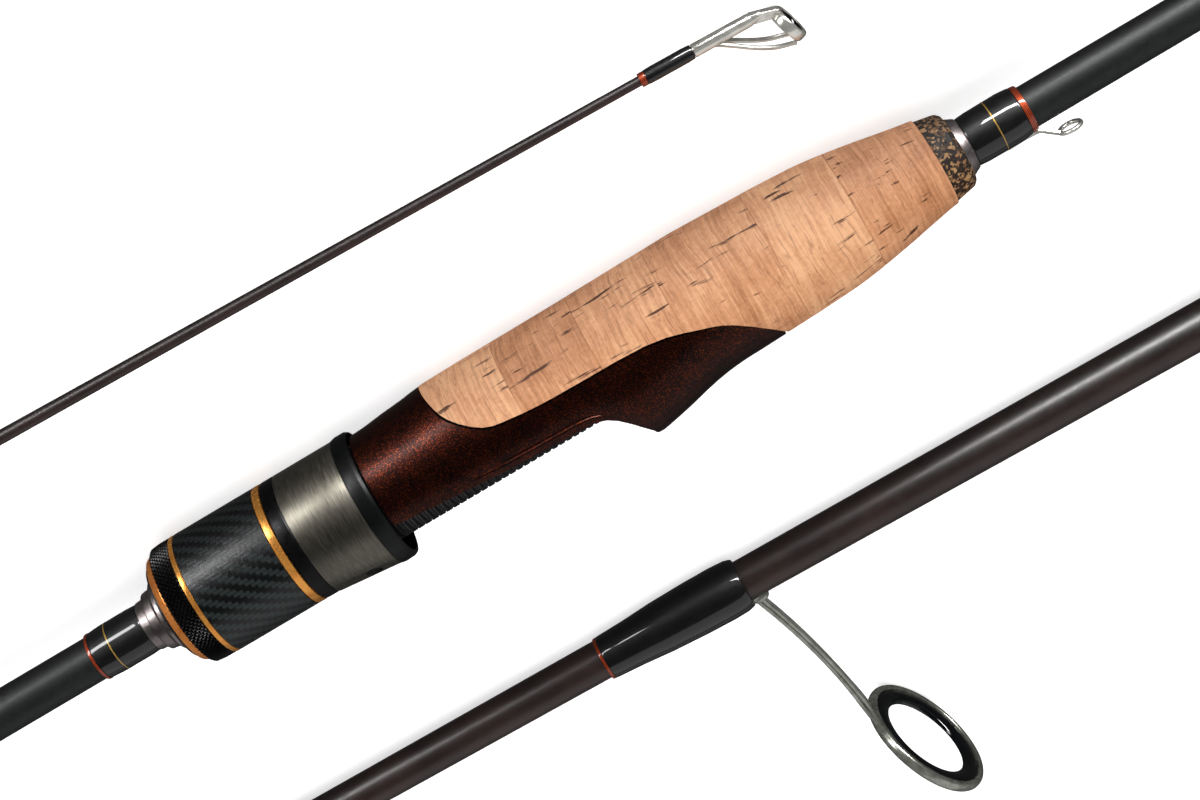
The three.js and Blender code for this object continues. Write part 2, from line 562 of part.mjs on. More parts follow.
function makeGuide(section, guide, radiusAt) {
  const { name, x, standoff, ring: outer, hole, band, rail, railGap, thick, bow } = guide;
  const lean = radians(guide.legLean);
  const ringLean = radians(guide.ringLean);
  const blankHere = radiusAt(x);
  const seat = -(blankHere + GLUE_LINE);
  const footEnd = x - guide.footing;
  const centre = [x + standoff * Math.tan(lean), -standoff];

  // Foot: a flat tongue that thins and narrows towards the tip
  const halfWidth = rail + railGap / 2;
  const tongue = (at, half, surface, deep) => [
    [at, -half, surface], [at, half, surface], [at, half, surface - deep], [at, -half, surface - deep],
  ];
  const endSeat = -(radiusAt(footEnd) + GLUE_LINE);
  const higher = Math.min(seat, endSeat);
  const foot = block(tongue(footEnd, halfWidth * 0.45, higher, 0.15), tongue(x, halfWidth, higher, thick));

  // Leg: two rails with a web between them, from the foot to the ring
  const root = [x - 0.4, higher - thick / 2];
  const grip = outer - band * 0.25;
  const rim = [centre[0] - grip * Math.sin(ringLean), centre[1] + grip * Math.cos(ringLean)];
  const length = Math.hypot(rim[0] - root[0], rim[1] - root[1]);
  const along = [(rim[0] - root[0]) / length, (rim[1] - root[1]) / length];
  const bar = (inner, outward, deep) => {
    const at = (share) => {
      const swing = bow * 4 * share * (1 - share);
      const px = root[0] + along[0] * length * share - along[1] * swing;
      const pz = root[1] + along[1] * length * share + along[0] * swing;
      const half = deep * (1 - 0.15 * share);
      const [nx, nz] = [-along[1] * half, along[0] * half];
      return [
        [px + nx, inner, pz + nz], [px + nx, outward, pz + nz],
        [px - nx, outward, pz - nz], [px - nx, inner, pz - nz],
      ];
    };
    const steps = bow > 0 ? 4 : 1;
    return Array.from({ length: steps }, (_, i) => block(at(i / steps), at((i + 1) / steps)));
  };
  const edge = railGap / 2;
  const rails = [...bar(edge, edge + rail, thick * 1.1), ...bar(-edge - rail, -edge, thick * 1.1)];
  const web = bar(-edge - rail / 2, edge + rail / 2, thick * 0.55);

  // Ring band, and the ceramic ring held inside it
  const insertOuter = hole + guide.wall;
  const bandBore = insertOuter + RUNNING;
  const upright = (geometry) =>
    geometry.rotateZ(radians(-guide.ringTurn)).rotateY(-ringLean).translate(centre[0], 0, centre[1]);
  const half = band / 2;
  const hoop = upright(turned([
    [-half, bandBore], [half, bandBore], [half, outer - 0.5], [half * 0.4, outer],
    [-half * 0.4, outer], [-half, outer - 0.5],
  ]));
  piece(section, `${name}_frame`, join(foot, ...rails, ...web, hoop), GUNMETAL);
  piece(section, `${name}_ring`, upright(turned([
    [-half * 0.6, insertOuter], [half * 0.6, insertOuter], [half * 0.9, (insertOuter + hole) / 2],
    [half * 0.4, hole], [-half * 0.4, hole], [-half * 0.9, (insertOuter + hole) / 2],
  ])), CERAMIC);

  // Binding over the foot: a tapered ring, let down towards the guide to take the foot in
  const start = x - guide.bindingTurns;
  const [thin, wide] = [radiusAt(start) + GLUE_LINE, Math.hypot(higher - thick, halfWidth)];
  const drop = (at) => THREE.MathUtils.mapLinear(at, start, x, 0.1, 0.35) * (blankHere / 4.3) ** 0.5;
  const roomy = (radius, at) => (radius + GLUE_LINE * 1.5) / Math.cos(Math.PI / SIDES) - drop(at) * 0.4;
  const trimAt = start - TRIM_WIDTH;
  const rearBore = roomy(Math.max(thin + 0.3, wide * 0.93), start);
  const legBore = roomy(wide, x);
  const lowered = (geometry) => {
    const position = geometry.attributes.position;
    for (let i = 0; i < position.count; i += 1) {
      position.setZ(i, position.getZ(i) - drop(position.getX(i)));
    }
    return geometry;
  };
  const bindingGeometry = ring(start, guide.bindingTurns - 1.2, rearBore, rearBore + BINDING_THICKNESS,
    legBore + BINDING_THICKNESS * 1.4);
  piece(section, `${name}_binding`, lowered(bindingGeometry), BINDING);
  if (!guide.trimmed) return;
  piece(section, `${name}_trim`,
    lowered(ring(trimAt - RUNNING, TRIM_WIDTH, rearBore, rearBore + BINDING_THICKNESS)), TRIM);
}

// ---------------------------------------------------------------- middle and tip sections

// Flush sleeve at a section's butt end that the next section's spigot pushes into.
function makeSocket(section, name, { open, inward, bore, outer, neck }) {
  const step = inward * SOCKET_LENGTH;
  const glued = inward * (SOCKET_LENGTH + GLUED_SPIGOT);
  piece(section, `${name}_ferrule_sleeve`, turned([
    [open, bore], [open + step, bore], [open + step, neck.bore], [open + glued, neck.bore],
    [open + glued, neck.outer], [open + step, outer], [open, outer],
  ]), BLANK);
  const bindingStart = open + inward * (inward > 0 ? 1 : 13);
  piece(section, `${name}_ferrule_binding`,
    ring(bindingStart, 12, outer + GLUE_LINE, outer + GLUE_LINE + BINDING_THICKNESS), BINDING);
}

const middle = new THREE.Group();
const middleBore = SPIGOT_RADIUS + SOCKET_CLEARANCE;
const middleOuter = middleBore + SLEEVE_WALL;
const middleRadius = (x) =>
  read([[MIDDLE.tip + MIDDLE.spigot, MIDDLE.tipRadius], [MIDDLE.butt - SOCKET_LENGTH, middleOuter]], x);

function makeMiddle() {
  const shoulder = MIDDLE.tip + MIDDLE.spigot;
  const inSleeve = MIDDLE.butt - SOCKET_LENGTH;
  const sleeveFront = inSleeve - GLUED_SPIGOT;
  const glued = middleBore - GLUE_LINE;
  piece(middle, 'middle_blank', turned([
    [MIDDLE.tip, 0], [MIDDLE.tip, MIDDLE.spigotRadius - 0.6], [MIDDLE.tip + 1, MIDDLE.spigotRadius],
    [shoulder, MIDDLE.spigotRadius], [shoulder, MIDDLE.tipRadius],
    [sleeveFront - RUNNING, middleRadius(sleeveFront)], [sleeveFront - RUNNING, glued],
    [inSleeve, glued], [inSleeve, 0],
  ]), BLANK);
  makeSocket(middle, 'middle', {
    open: MIDDLE.butt, inward: -1, bore: middleBore, outer: middleOuter,
    neck: { bore: middleBore + GLUE_LINE, outer: middleOuter },
  });
  makeGuide(middle, GUIDES[0], middleRadius);
  makeGuide(middle, GUIDES[1], middleRadius);
}

const tip = new THREE.Group();
const tipBore = MIDDLE.spigotRadius + SOCKET_CLEARANCE;
const tipOuter = tipBore + SLEEVE_WALL * 0.8;
const tipRadius = (x) => read([[TIP.butt, TIP.buttRadius], [TIP.end, TIP.endRadius]], x);

function makeTip() {
  const inSleeve = TIP.butt + SOCKET_LENGTH;
  const bindingStart = TIP_PIVOT - TIP_BINDING.length;
  piece(tip, 'tip_blank', turned([
    [inSleeve + RUNNING, 0], [inSleeve + RUNNING, TIP.buttRadius], [TIP.end, TIP.endRadius], [TIP.end, 0],
  ]), BLANK);
  const neckBore = TIP.buttRadius + GLUE_LINE;
  makeSocket(tip, 'tip', {
    open: TIP.butt, inward: 1, bore: tipBore, outer: tipOuter,
    neck: { bore: neckBore, outer: TIP.sleeveFront },
  });
  makeGuide(tip, GUIDES[2], tipRadius);
  makeGuide(tip, GUIDES[3], tipRadius);
  const bindingBore = tipRadius(bindingStart) + GLUE_LINE;
  piece(tip, 'tip_trim', ring(bindingStart - 2 * TRIM_WIDTH, 2 * TRIM_WIDTH - RUNNING, bindingBore,
    TIP_BINDING.radius - 0.1), TRIM);
  piece(tip, 'tip_binding', ring(bindingStart, TIP_BINDING.length - RUNNING, bindingBore,
    TIP_BINDING.radius), BINDING);
  makeTipTop();
}

function makeTipTop() {
  const start = TIP_PIVOT;
  const end = start + TIP_TOP.tube;
  const socket = TIP.end - start + RUNNING;
  const bore = tipRadius(start) + GLUE_LINE;
  const wall = 0.35;
  const tube = turned([
    [start, bore], [start + socket, bore], [start + socket, 0], [end, 0],
    [end, TIP_TOP.tubeFlare], [start, bore + wall],
  ]);
  const centre = [end + TIP_TOP.centreAhead - TIP_TOP.band / 2, -TIP_TOP.standoff];
  const half = TIP_TOP.band / 2;
  const insertOuter = TIP_TOP.hole + 0.9;
  const upright = (geometry) =>
    geometry.rotateY(-radians(TIP_TOP.tilt)).translate(centre[0], 0, centre[1]);
  const hoop = upright(turned([
    [-half, insertOuter + RUNNING], [half, insertOuter + RUNNING], [half, TIP_TOP.ring - 0.25],
    [half * 0.5, TIP_TOP.ring], [-half * 0.5, TIP_TOP.ring], [-half, TIP_TOP.ring - 0.25],
  ]));
  const hoopTop = centre[1] + TIP_TOP.ring;
  const saddle = sidePlate([
    [end - 1.5, TIP_TOP.tubeFlare - 0.2], [centre[0] + half * 0.7, hoopTop + 0.2],
    [centre[0] + half * 0.7, hoopTop - 0.5], [end - 1.5, -TIP_TOP.tubeFlare + 0.4],
  ], 1.3);
  const brace = (side) => wire([
    [start + TIP_TOP.braceStart, side * 0.3, -TIP_TOP.tubeRadius * 0.7],
    [start + TIP_TOP.braceStart + 1.5, side * 0.7, -TIP_TOP.tubeRadius - 0.5],
    [centre[0] - 4.5, side * 1.6, centre[1] - TIP_TOP.ring * 0.45],
    [centre[0] - 0.2, side * 1.7, centre[1] - TIP_TOP.ring * 0.86],
  ], TIP_TOP.brace);
  piece(tip, 'tip_top_frame', join(tube, hoop, saddle, brace(1), brace(-1)), STEEL);
  piece(tip, 'tip_top_ring', upright(turned([
    [-half * 0.7, insertOuter], [half * 0.7, insertOuter], [half * 0.9, insertOuter - 0.4],
    [half * 0.4, TIP_TOP.hole], [-half * 0.4, TIP_TOP.hole], [-half * 0.9, insertOuter - 0.4],
  ])), CERAMIC);
}

// ---------------------------------------------------------------- assembly

makeBlank();
makeRearGrip();
makeSeatRear();
makeBarrel();
makeLockNut();
makeHood();
makeSeatBody();
makeFrontGrip();
makeMiddle();
makeTip();

// Roll that lets a guide's ring touch the surface while the blank's widest binding rests on it.
function restingRoll(axisHeight, { standoff, ring: outer }) {
  const arm = Math.hypot(standoff, outer);
  return Math.atan2(outer, standoff) - Math.asin(axisHeight / arm);
}

// Turns a section about X so that its reel side lies sideways and up by the roll, then rests it on z = 0.
function lay(section, roll, yaw, pivot, aside) {
  section.rotation.set(-(Math.PI / 2 + roll), 0, yaw, 'ZXY');
  section.position.set(pivot * (1 - Math.cos(yaw)), aside - pivot * Math.sin(yaw), 0);
  section.updateMatrixWorld(true);
  section.position.z = -new THREE.Box3().setFromObject(section, true).min.z;
}

const rod = new THREE.Group();
rod.add(handle, middle, tip);
lay(handle, radians(HANDLE_ROLL), 0, 0, 0);
lay(middle, restingRoll(middleOuter + 0.6, GUIDES[0]), radians(MIDDLE_YAW), MIDDLE_PIVOT, MIDDLE_ASIDE);
lay(tip, restingRoll(tipOuter + 0.5, GUIDES[2]), radians(TIP_YAW), TIP_PIVOT, TIP_ASIDE);

const group = new THREE.Group();
group.add(rod);
group.updateMatrixWorld(true);
const extent = new THREE.Box3().setFromObject(group, true);
rod.position.set(-(extent.min.x + extent.max.x) / 2, -(extent.min.y + extent.max.y) / 2, -extent.min.z);

export default group;
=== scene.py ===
"""A three-piece take-down ice fishing rod, its sections laid side by side on a pale floor."""
import math

import bpy
from mathutils import Matrix, Vector


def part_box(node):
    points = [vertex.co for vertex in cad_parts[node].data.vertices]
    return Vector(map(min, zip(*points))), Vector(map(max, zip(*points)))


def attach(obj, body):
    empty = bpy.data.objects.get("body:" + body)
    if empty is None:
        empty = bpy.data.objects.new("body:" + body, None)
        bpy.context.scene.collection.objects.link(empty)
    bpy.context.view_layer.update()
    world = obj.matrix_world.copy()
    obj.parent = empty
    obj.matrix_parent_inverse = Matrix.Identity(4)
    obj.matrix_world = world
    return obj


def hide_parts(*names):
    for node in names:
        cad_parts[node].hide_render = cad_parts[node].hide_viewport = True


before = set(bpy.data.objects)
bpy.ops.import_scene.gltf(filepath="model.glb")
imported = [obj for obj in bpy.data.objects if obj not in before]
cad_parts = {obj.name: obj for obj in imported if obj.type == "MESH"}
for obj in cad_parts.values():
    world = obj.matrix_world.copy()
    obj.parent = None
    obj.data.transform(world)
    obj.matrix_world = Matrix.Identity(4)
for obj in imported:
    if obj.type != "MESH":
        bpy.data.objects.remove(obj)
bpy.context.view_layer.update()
bpy.ops.object.select_all(action="DESELECT")

MM = 0.001


# ---------------------------------------------------------------------------------------------
# Camera. It stands on the far side of the handle, above it, with the view turned so that
# the rod climbs to the right and the reel side of the handle hangs below it.

HANDLE_ROLL = math.radians(40)  # how far the reel side is turned up from lying flat
VIEW_LEAN = math.radians(40)  # the camera's line of sight from straight down
VIEW_SWING = math.radians(4.5)  # how far the camera stands towards the tip side
ROD_CLIMB = math.radians(30.54)  # slope of the handle across the view
VIEW_DISTANCE = 475 * MM
LENS = 78.4
AIM_ALONG = 122.3 * MM  # from the handle's datum
AIM_BELOW = 6.3 * MM  # towards the reel side, square to the line of sight

nut_low, nut_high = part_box("nut_carbon_sleeve")
lip_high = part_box("hood_lip")[1]
SEAT_DATUM = 79.25  # millimetres from the handle's datum to the open hood's front edge
handle_axis = Vector((
    lip_high.x - SEAT_DATUM * MM, (nut_low.y + nut_high.y) / 2, (nut_low.z + nut_high.z) / 2))

square_on = Vector((0, math.sin(VIEW_LEAN), math.cos(VIEW_LEAN)))
away = square_on * math.cos(VIEW_SWING) + Vector((1, 0, 0)) * math.sin(VIEW_SWING)
along = (Vector((1, 0, 0)) - away * away.x).normalized()
across = away.cross(along)
view_right = along * math.cos(ROD_CLIMB) - across * math.sin(ROD_CLIMB)
view_up = along * math.sin(ROD_CLIMB) + across * math.cos(ROD_CLIMB)
aim = handle_axis + Vector((AIM_ALONG, 0, 0)) - across * AIM_BELOW

camera_data = bpy.data.cameras.new("camera")
camera_data.lens = LENS
camera_data.clip_start = 10 * MM
camera = bpy.data.objects.new("camera", camera_data)
bpy.context.collection.objects.link(camera)
turn = Matrix((view_right, view_up, away)).transposed()
camera.matrix_world = Matrix.Translation(aim + away * VIEW_DISTANCE) @ turn.to_4x4()
bpy.context.scene.camera = camera


# ---------------------------------------------------------------------------------------------
# Studio. A white floor that gloss sees as dark, dim walls, large fills from above and from the
# camera's side, two low softboxes there that draw the highlights on gloss, and a weak one opposite.

bpy.context.scene.view_settings.view_transform = "Standard"
FLOOR_IN_GLOSS = 0.05  # brightness of the floor as polished pieces show it
FLOOR_LIFT = 0.62  # light that the floor adds towards the camera alone


def put(tree, kind, inputs=(), **settings):
    """Adds a shader node; each input is linked to a socket or set to a value."""
    node = tree.nodes.new("ShaderNode" + kind)
    for setting, value in settings.items():
        setattr(node, setting, value)
    for socket, value in dict(inputs).items():
        if isinstance(value, bpy.types.NodeSocket):
            tree.links.new(value, node.inputs[socket])
        else:
            node.inputs[socket].default_value = value
    return node


def reckon(tree, operation, *values):
    """A number worked out from others by a Math node."""
    return put(tree, "Math", dict(enumerate(values)), operation=operation).outputs[0]


def softbox(name, place, size, watts):
    """Hangs an area lamp at a place, facing the middle of the floor."""
    lamp_data = bpy.data.lights.new(name, "AREA")
    lamp_data.shape = "RECTANGLE"
    lamp_data.size, lamp_data.size_y = size
    lamp_data.energy = watts
    lamp = bpy.data.objects.new(name, lamp_data)
    bpy.context.collection.objects.link(lamp)
    lamp.location = place
    lamp.rotation_euler = (-Vector(place)).to_track_quat("-Z", "Y").to_euler()
    return lamp


bpy.ops.mesh.primitive_plane_add(size=8, location=(0, 0, 0))
floor = bpy.context.object
floor.name = "floor"

floor_material = bpy.data.materials.new("floor_white")
floor_material.use_nodes = True
tree = floor_material.node_tree
tree.nodes.clear()
paint = put(tree, "BsdfDiffuse", {"Color": (0.82, 0.82, 0.82, 1)})
ray = put(tree, "LightPath")
lift = reckon(tree, "MULTIPLY", ray.outputs["Is Camera Ray"], FLOOR_LIFT)
glow = put(tree, "Emission", {"Color": (1, 1, 1, 1), "Strength": lift})
both = put(tree, "AddShader", {0: paint.outputs[0], 1: glow.outputs[0]})
dark = put(tree, "Emission", {"Color": (1, 1, 1, 1), "Strength": FLOOR_IN_GLOSS})
surface = put(tree, "MixShader", {0: ray.outputs["Is Glossy Ray"], 1: both.outputs[0], 2: dark.outputs[0]})
put(tree, "OutputMaterial", {"Surface": surface.outputs[0]})
floor.data.materials.append(floor_material)

world = bpy.data.worlds.new("studio")
world.use_nodes = True
bpy.context.scene.world = world
tree = world.node_tree
direction = put(tree, "TexCoord")
height = put(tree, "SeparateXYZ", {0: direction.outputs["Generated"]})
fade = put(tree, "ValToRGB", {0: height.outputs["Z"]})
fade.color_ramp.elements[0].position = 0.08
fade.color_ramp.elements[0].color = (0.30, 0.30, 0.30, 1)
fade.color_ramp.elements[1].position = 0.30
fade.color_ramp.elements[1].color = (0.03, 0.03, 0.03, 1)
tree.links.new(fade.outputs["Color"], tree.nodes["Background"].inputs["Color"])

ceiling_fill = softbox("ceiling_fill", (0, 0.15, 1.3), (1.8, 1.4), 23)
ceiling_fill.visible_glossy = False
front_fill = softbox("front_fill", (0, 1.1, 0.5), (1.8, 0.6), 6)
front_fill.visible_glossy = False
for name, place, size, watts in (
        ("rear_strip", (-0.42, 0.8, 0.21), (0.62, 0.20), 6),
        ("front_strip", (0.57, 0.8, 0.21), (0.90, 0.16), 20),
        ("far_strip", (0.1, -0.75, 0.9), (2.4, 1.3), 6)):
    softbox(name, place, size, watts).visible_diffuse = False


# ---------------------------------------------------------------------------------------------
# Handle blank. A tapered tube of carbon fibre that runs from the butt cap through the grips and
# the reel seat and ends in the ferrule spigot. It is sanded matt, so its tape marks show faintly.

BLANK_REAR = 4.33  # radii
BLANK_FRONT = 4.0
BLANK_TAPER_START = 30
BLANK_BUTT = -63.7
SHOULDER = 252
SPIGOT_RADIUS = 3.65
SPIGOT_END = 290

handle_frame = Matrix.Translation(handle_axis) @ Matrix.Rotation(-math.pi / 2 - HANDLE_ROLL, 4, "X")


def blank_radius(x):
    """Radius of the handle blank at a place along it."""
    share = (x - BLANK_TAPER_START) / (SHOULDER - BLANK_TAPER_START)
    return BLANK_REAR + (BLANK_FRONT - BLANK_REAR) * max(0, share)


def rounded(corners, radius=0.25):
    """Softens an outline's sharp corners, leaving those on the axis as they are."""
    soft = []
    for i, corner in enumerate(corners):
        here = Vector(corner)
        before = Vector(corners[i - 1]) - here
        after = Vector(corners[(i + 1) % len(corners)]) - here
        if corner[1] == 0 or before.angle(after) > math.radians(150):
            soft.append(corner)
            continue
        start = here + before.normalized() * min(radius, 0.4 * before.length)
        end = here + after.normalized() * min(radius, 0.4 * after.length)
        for step in range(4):
            t = step / 3
            soft.append(tuple(start * (1 - t) ** 2 + here * 2 * t * (1 - t) + end * t ** 2))
    return soft


def drawn(name, path):
    """Draws a chain of edges through points in millimetres, from a plane merged to one corner."""
    bpy.ops.object.select_all(action="DESELECT")
    bpy.ops.mesh.primitive_plane_add(size=MM)
    piece = bpy.context.object
    piece.name = name
    bpy.ops.object.mode_set(mode="EDIT")
    bpy.ops.mesh.select_mode(type="VERT")
    bpy.ops.mesh.select_all(action="SELECT")
    bpy.ops.mesh.merge(type="CENTER")
    places = [Vector(point) * MM for point in path]
    bpy.ops.transform.translate(value=places[0])
    for here, there in zip(places, places[1:]):
        bpy.ops.mesh.extrude_region_move(TRANSFORM_OT_translate={"value": there - here})
    bpy.ops.mesh.select_all(action="SELECT")
    return piece


def wound(piece):
    """Lays a UV map over a turned piece that counts millimetres along it and turns round it."""
    layer = piece.data.uv_layers.new(name="wound")
    points = piece.data.vertices
    for face in piece.data.polygons:
        middle = math.atan2(face.center.y, face.center.z)
        for corner in face.loop_indices:
            place = points[piece.data.loops[corner].vertex_index].co
            around = math.atan2(place.y, place.z)
            around += math.tau * round((middle - around) / math.tau)
            layer.data[corner].uv = (place.x / MM, around / math.tau)


def turned(name, corners, steps=96):
    """Spins an outline of (along, radius) corners in millimetres about X into a closed piece."""
    path = [(x, 0, radius) for x, radius in corners]
    if corners[0][1] > 0:
        path.append(path[0])
    piece = drawn(name, path)
    bpy.ops.mesh.spin(steps=steps, angle=math.tau, center=(0, 0, 0), axis=(1, 0, 0))
    bpy.ops.mesh.select_all(action="SELECT")
    bpy.ops.mesh.remove_doubles(threshold=0.001 * MM)
    bpy.ops.mesh.normals_make_consistent(inside=False)
    bpy.ops.object.mode_set(mode="OBJECT")
    wound(piece)
    return piece


def lay_down(piece, section, material, sharp=32):
    """Puts a finished mesh at its place in a section and gives it its finish."""
    piece.data.transform(section)
    piece.data.materials.clear()
    piece.data.materials.append(material)
    bpy.ops.object.select_all(action="DESELECT")
    piece.select_set(True)
    bpy.context.view_layer.objects.active = piece
    bpy.ops.object.shade_smooth_by_angle(angle=math.radians(sharp))


def hexed(code):
    """A colour written as hex, in the linear values that a shader takes."""
    shades = [int(code[i:i + 2], 16) / 255 for i in (1, 3, 5)]
    return tuple(s / 12.92 if s <= 0.04045 else ((s + 0.055) / 1.055) ** 2.4 for s in shades) + (1,)


def ramp(tree, factor, *stops):
    """Adds a colour ramp with (position, colour) stops."""
    node = put(tree, "ValToRGB", {0: factor})
    bar = node.color_ramp.elements
    while len(bar) < len(stops):
        bar.new(0.5)
    for stop, (position, code) in zip(bar, stops):
        stop.position = position
        stop.color = hexed(code)
    return node


def finish(name, **shader_values):
    """Starts a material and sets the constant values of its shader."""
    material = bpy.data.materials.new(name)
    material.use_nodes = True
    shader = material.node_tree.nodes["Principled BSDF"]
    for socket, value in shader_values.items():
        shader.inputs[socket.replace("_", " ").title().replace("Ior", "IOR")].default_value = value
    return material, material.node_tree, shader


def feed(tree, shader, **outputs):
    """Links outputs that change over the surface to the shader."""
    for socket, output in outputs.items():
        tree.links.new(output, shader.inputs[socket.replace("_", " ").title()])


def new_group(name, inputs, outputs):
    """Starts a node group with named number and vector inputs and number outputs."""
    group = bpy.data.node_groups.new(name, "ShaderNodeTree")
    for socket, kind in inputs:
        group.interface.new_socket(socket, in_out="INPUT", socket_type="NodeSocket" + kind)
    for socket in outputs:
        group.interface.new_socket(socket, in_out="OUTPUT", socket_type="NodeSocketFloat")
    return group, group.nodes.new("NodeGroupInput").outputs


def give(group, output):
    """Ends a node group with its one output."""
    group.links.new(output, group.nodes.new("NodeGroupOutput").inputs[0])


mottle, given = new_group(
    "mottle", [("Vector", "Vector"), ("Scale", "Float"), ("Low", "Float"), ("High", "Float")], ["Value"])
cloud = put(mottle, "TexNoise", {"Vector": given["Vector"], "Scale": given["Scale"], "Detail": 4})
level = put(mottle, "MapRange", {
    "Value": cloud.outputs[0], "From Min": 0.3, "From Max": 0.7,
    "To Min": given["Low"], "To Max": given["High"]})
give(mottle, level.outputs[0])


def mottled(tree, vector, scale, low, high):
    """A value that drifts between two levels over the surface."""
    node = put(tree, "Group", node_tree=mottle)
    for socket, value in (("Scale", scale), ("Low", low), ("High", high)):
        node.inputs[socket].default_value = value
    tree.links.new(vector, node.inputs["Vector"])
    return node.outputs[0]


def winding(tree):
    """How far along a turned piece a point is, in millimetres, and how far round it, in turns."""
    return put(tree, "SeparateXYZ", {0: put(tree, "UVMap", uv_map="wound").outputs[0]}).outputs


TAPE_SLOPE = 0.14  # turns that the tape's edge makes in a millimetre
TAPE_EDGE = 0.06  # share of a turn that the edge takes
blank_matt, tree, shader = finish("blank_matt_carbon", metallic=0.0, specular_ior_level=0.35)
place = put(tree, "TexCoord").outputs["Object"]
run, turns = winding(tree)[:2]
tape = reckon(tree, "MULTIPLY", run, TAPE_SLOPE)
tape_turn = reckon(tree, "ADD", tape, turns)
tape_edge = reckon(tree, "FRACT", tape_turn, 1.0)
seam = reckon(tree, "LESS_THAN", tape_edge, TAPE_EDGE)
tone = mottled(tree, place, 900, 0.0, 1.0)
shade = ramp(tree, tone, (0, "#080b0a"), (1, "#111514"))
rough = mottled(tree, place, 2200, 0.42, 0.56)
bump = put(tree, "Bump", {"Height": seam, "Strength": 0.12, "Distance": 0.02 * MM})
feed(tree, shader, base_color=shade.outputs[0], roughness=rough, normal=bump.outputs[0])

handle_blank = turned("handle_blank_tube", rounded([
    (BLANK_BUTT, 0), (BLANK_BUTT, BLANK_REAR), (BLANK_TAPER_START, BLANK_REAR), (SHOULDER, BLANK_FRONT),
    (SHOULDER, SPIGOT_RADIUS), (SPIGOT_END, SPIGOT_RADIUS - 0.1), (SPIGOT_END, 0)], 0.3))
lay_down(handle_blank, handle_frame, blank_matt)
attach(handle_blank, "handle_section")
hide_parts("handle_blank")


# ---------------------------------------------------------------------------------------------
# Rear grip. Two natural cork rings and one of burl cork are glued on the blank and sanded to a
# knob, with a rubber cap on the butt and a thin metal check in front.

KNOB_RADIUS = 13.3
KNOB_FRONT = 9
BUTT_CAP = (-70, -64)  # along, rear and front
REAR_CORK = [(-64, -45), (-45, -26)]
REAR_BURL = (-26, -21)
REAR_GRIP_CHECK = (-21, -18)
KNOB_TAPER = (-58, -26)  # along: where the knob starts and ends its narrowing
BORE = 4.63  # of everything glued on the blank

cork, tree, shader = finish("natural_cork", specular_ior_level=0.25)
place = put(tree, "TexCoord").outputs["Object"]
ring_tone = put(tree, "Attribute", attribute_name="tone").outputs["Fac"]
apart = reckon(tree, "MULTIPLY", ring_tone, 0.37)
shifted = put(tree, "CombineXYZ", {0: apart, 1: apart, 2: apart})
own = put(tree, "VectorMath", {0: place, 1: shifted.outputs[0]}, operation="ADD")
slow = put(tree, "TexNoise", {"Vector": own.outputs[0], "Scale": 70, "Detail": 3})
bent = put(tree, "VectorMath", {0: slow.outputs["Color"], 1: (0.0025, 0.0025, 0.0025)}, operation="MULTIPLY")
grain_place = put(tree, "VectorMath", {0: own.outputs[0], 1: bent.outputs[0]}, operation="ADD")
growth = put(tree, "Mapping", {"Vector": grain_place.outputs[0], "Scale": (1500, 60, 60)})
lines = put(tree, "TexNoise", {"Vector": growth.outputs[0], "Scale": 1, "Detail": 7, "Roughness": 0.68})
cells = put(tree, "TexNoise", {"Vector": own.outputs[0], "Scale": 1500, "Detail": 3})
patches = put(tree, "TexNoise", {"Vector": own.outputs[0], "Scale": 130, "Detail": 4})
pit_lay = put(tree, "Mapping", {"Vector": grain_place.outputs[0], "Scale": (85, 950, 950)})
pit_noise = put(tree, "TexNoise", {"Vector": pit_lay.outputs[0], "Scale": 1, "Detail": 4, "Roughness": 0.55})
pit_where = put(tree, "MapRange", {"Value": patches.outputs[0], "From Min": 0.42, "From Max": 0.6,
                                   "To Min": 0.0, "To Max": 0.075})
pit_level = reckon(tree, "ADD", pit_noise.outputs[0], pit_where.outputs[0])
pits = put(tree, "MapRange", {"Value": pit_level, "From Min": 0.66, "From Max": 0.72})
warm = reckon(tree, "MULTIPLY", lines.outputs[0], 0.55)
warmer = reckon(tree, "MULTIPLY", patches.outputs[0], 0.38)
speckled = reckon(tree, "MULTIPLY", cells.outputs[0], 0.18)
sum_one = reckon(tree, "ADD", warm, warmer)
sum_two = reckon(tree, "ADD", sum_one, speckled)
toned = reckon(tree, "MULTIPLY", reckon(tree, "SUBTRACT", ring_tone, 0.34), 0.3)
sum_all = reckon(tree, "ADD", sum_two, toned)
body = ramp(tree, sum_all, (0.32, "#7e4d30"), (0.45, "#b27850"), (0.57, "#cc9168"), (0.7, "#e3ad82"))
vein_lay = put(tree, "Mapping", {"Vector": grain_place.outputs[0], "Scale": (620, 34, 34)})
vein_noise = put(tree, "TexNoise", {"Vector": vein_lay.outputs[0], "Scale": 1, "Detail": 3, "Roughness": 0.5})
off_vein = reckon(tree, "ABSOLUTE", reckon(tree, "SUBTRACT", vein_noise.outputs[0], 0.5))
veins = put(tree, "MapRange", {
    "Value": off_vein, "From Min": 0.0, "From Max": 0.014, "To Min": 0.55, "To Max": 0.0})
veined = put(tree, "Mix", {0: veins.outputs[0], 6: body.outputs[0], 7: hexed("#8d5a3c")}, data_type="RGBA")
pitted = put(tree, "Mix", {0: pits.outputs[0], 6: veined.outputs[2], 7: hexed("#55301c")}, data_type="RGBA")
cork_height = reckon(tree, "ADD", reckon(tree, "MULTIPLY", pits.outputs[0], -1.0), warm)
cork_bump = put(tree, "Bump", {"Height": cork_height, "Strength": 0.5, "Distance": 0.12 * MM})
cork_rough = mottled(tree, place, 600, 0.62, 0.82)
feed(tree, shader, base_color=pitted.outputs[2], roughness=cork_rough, normal=cork_bump.outputs[0])

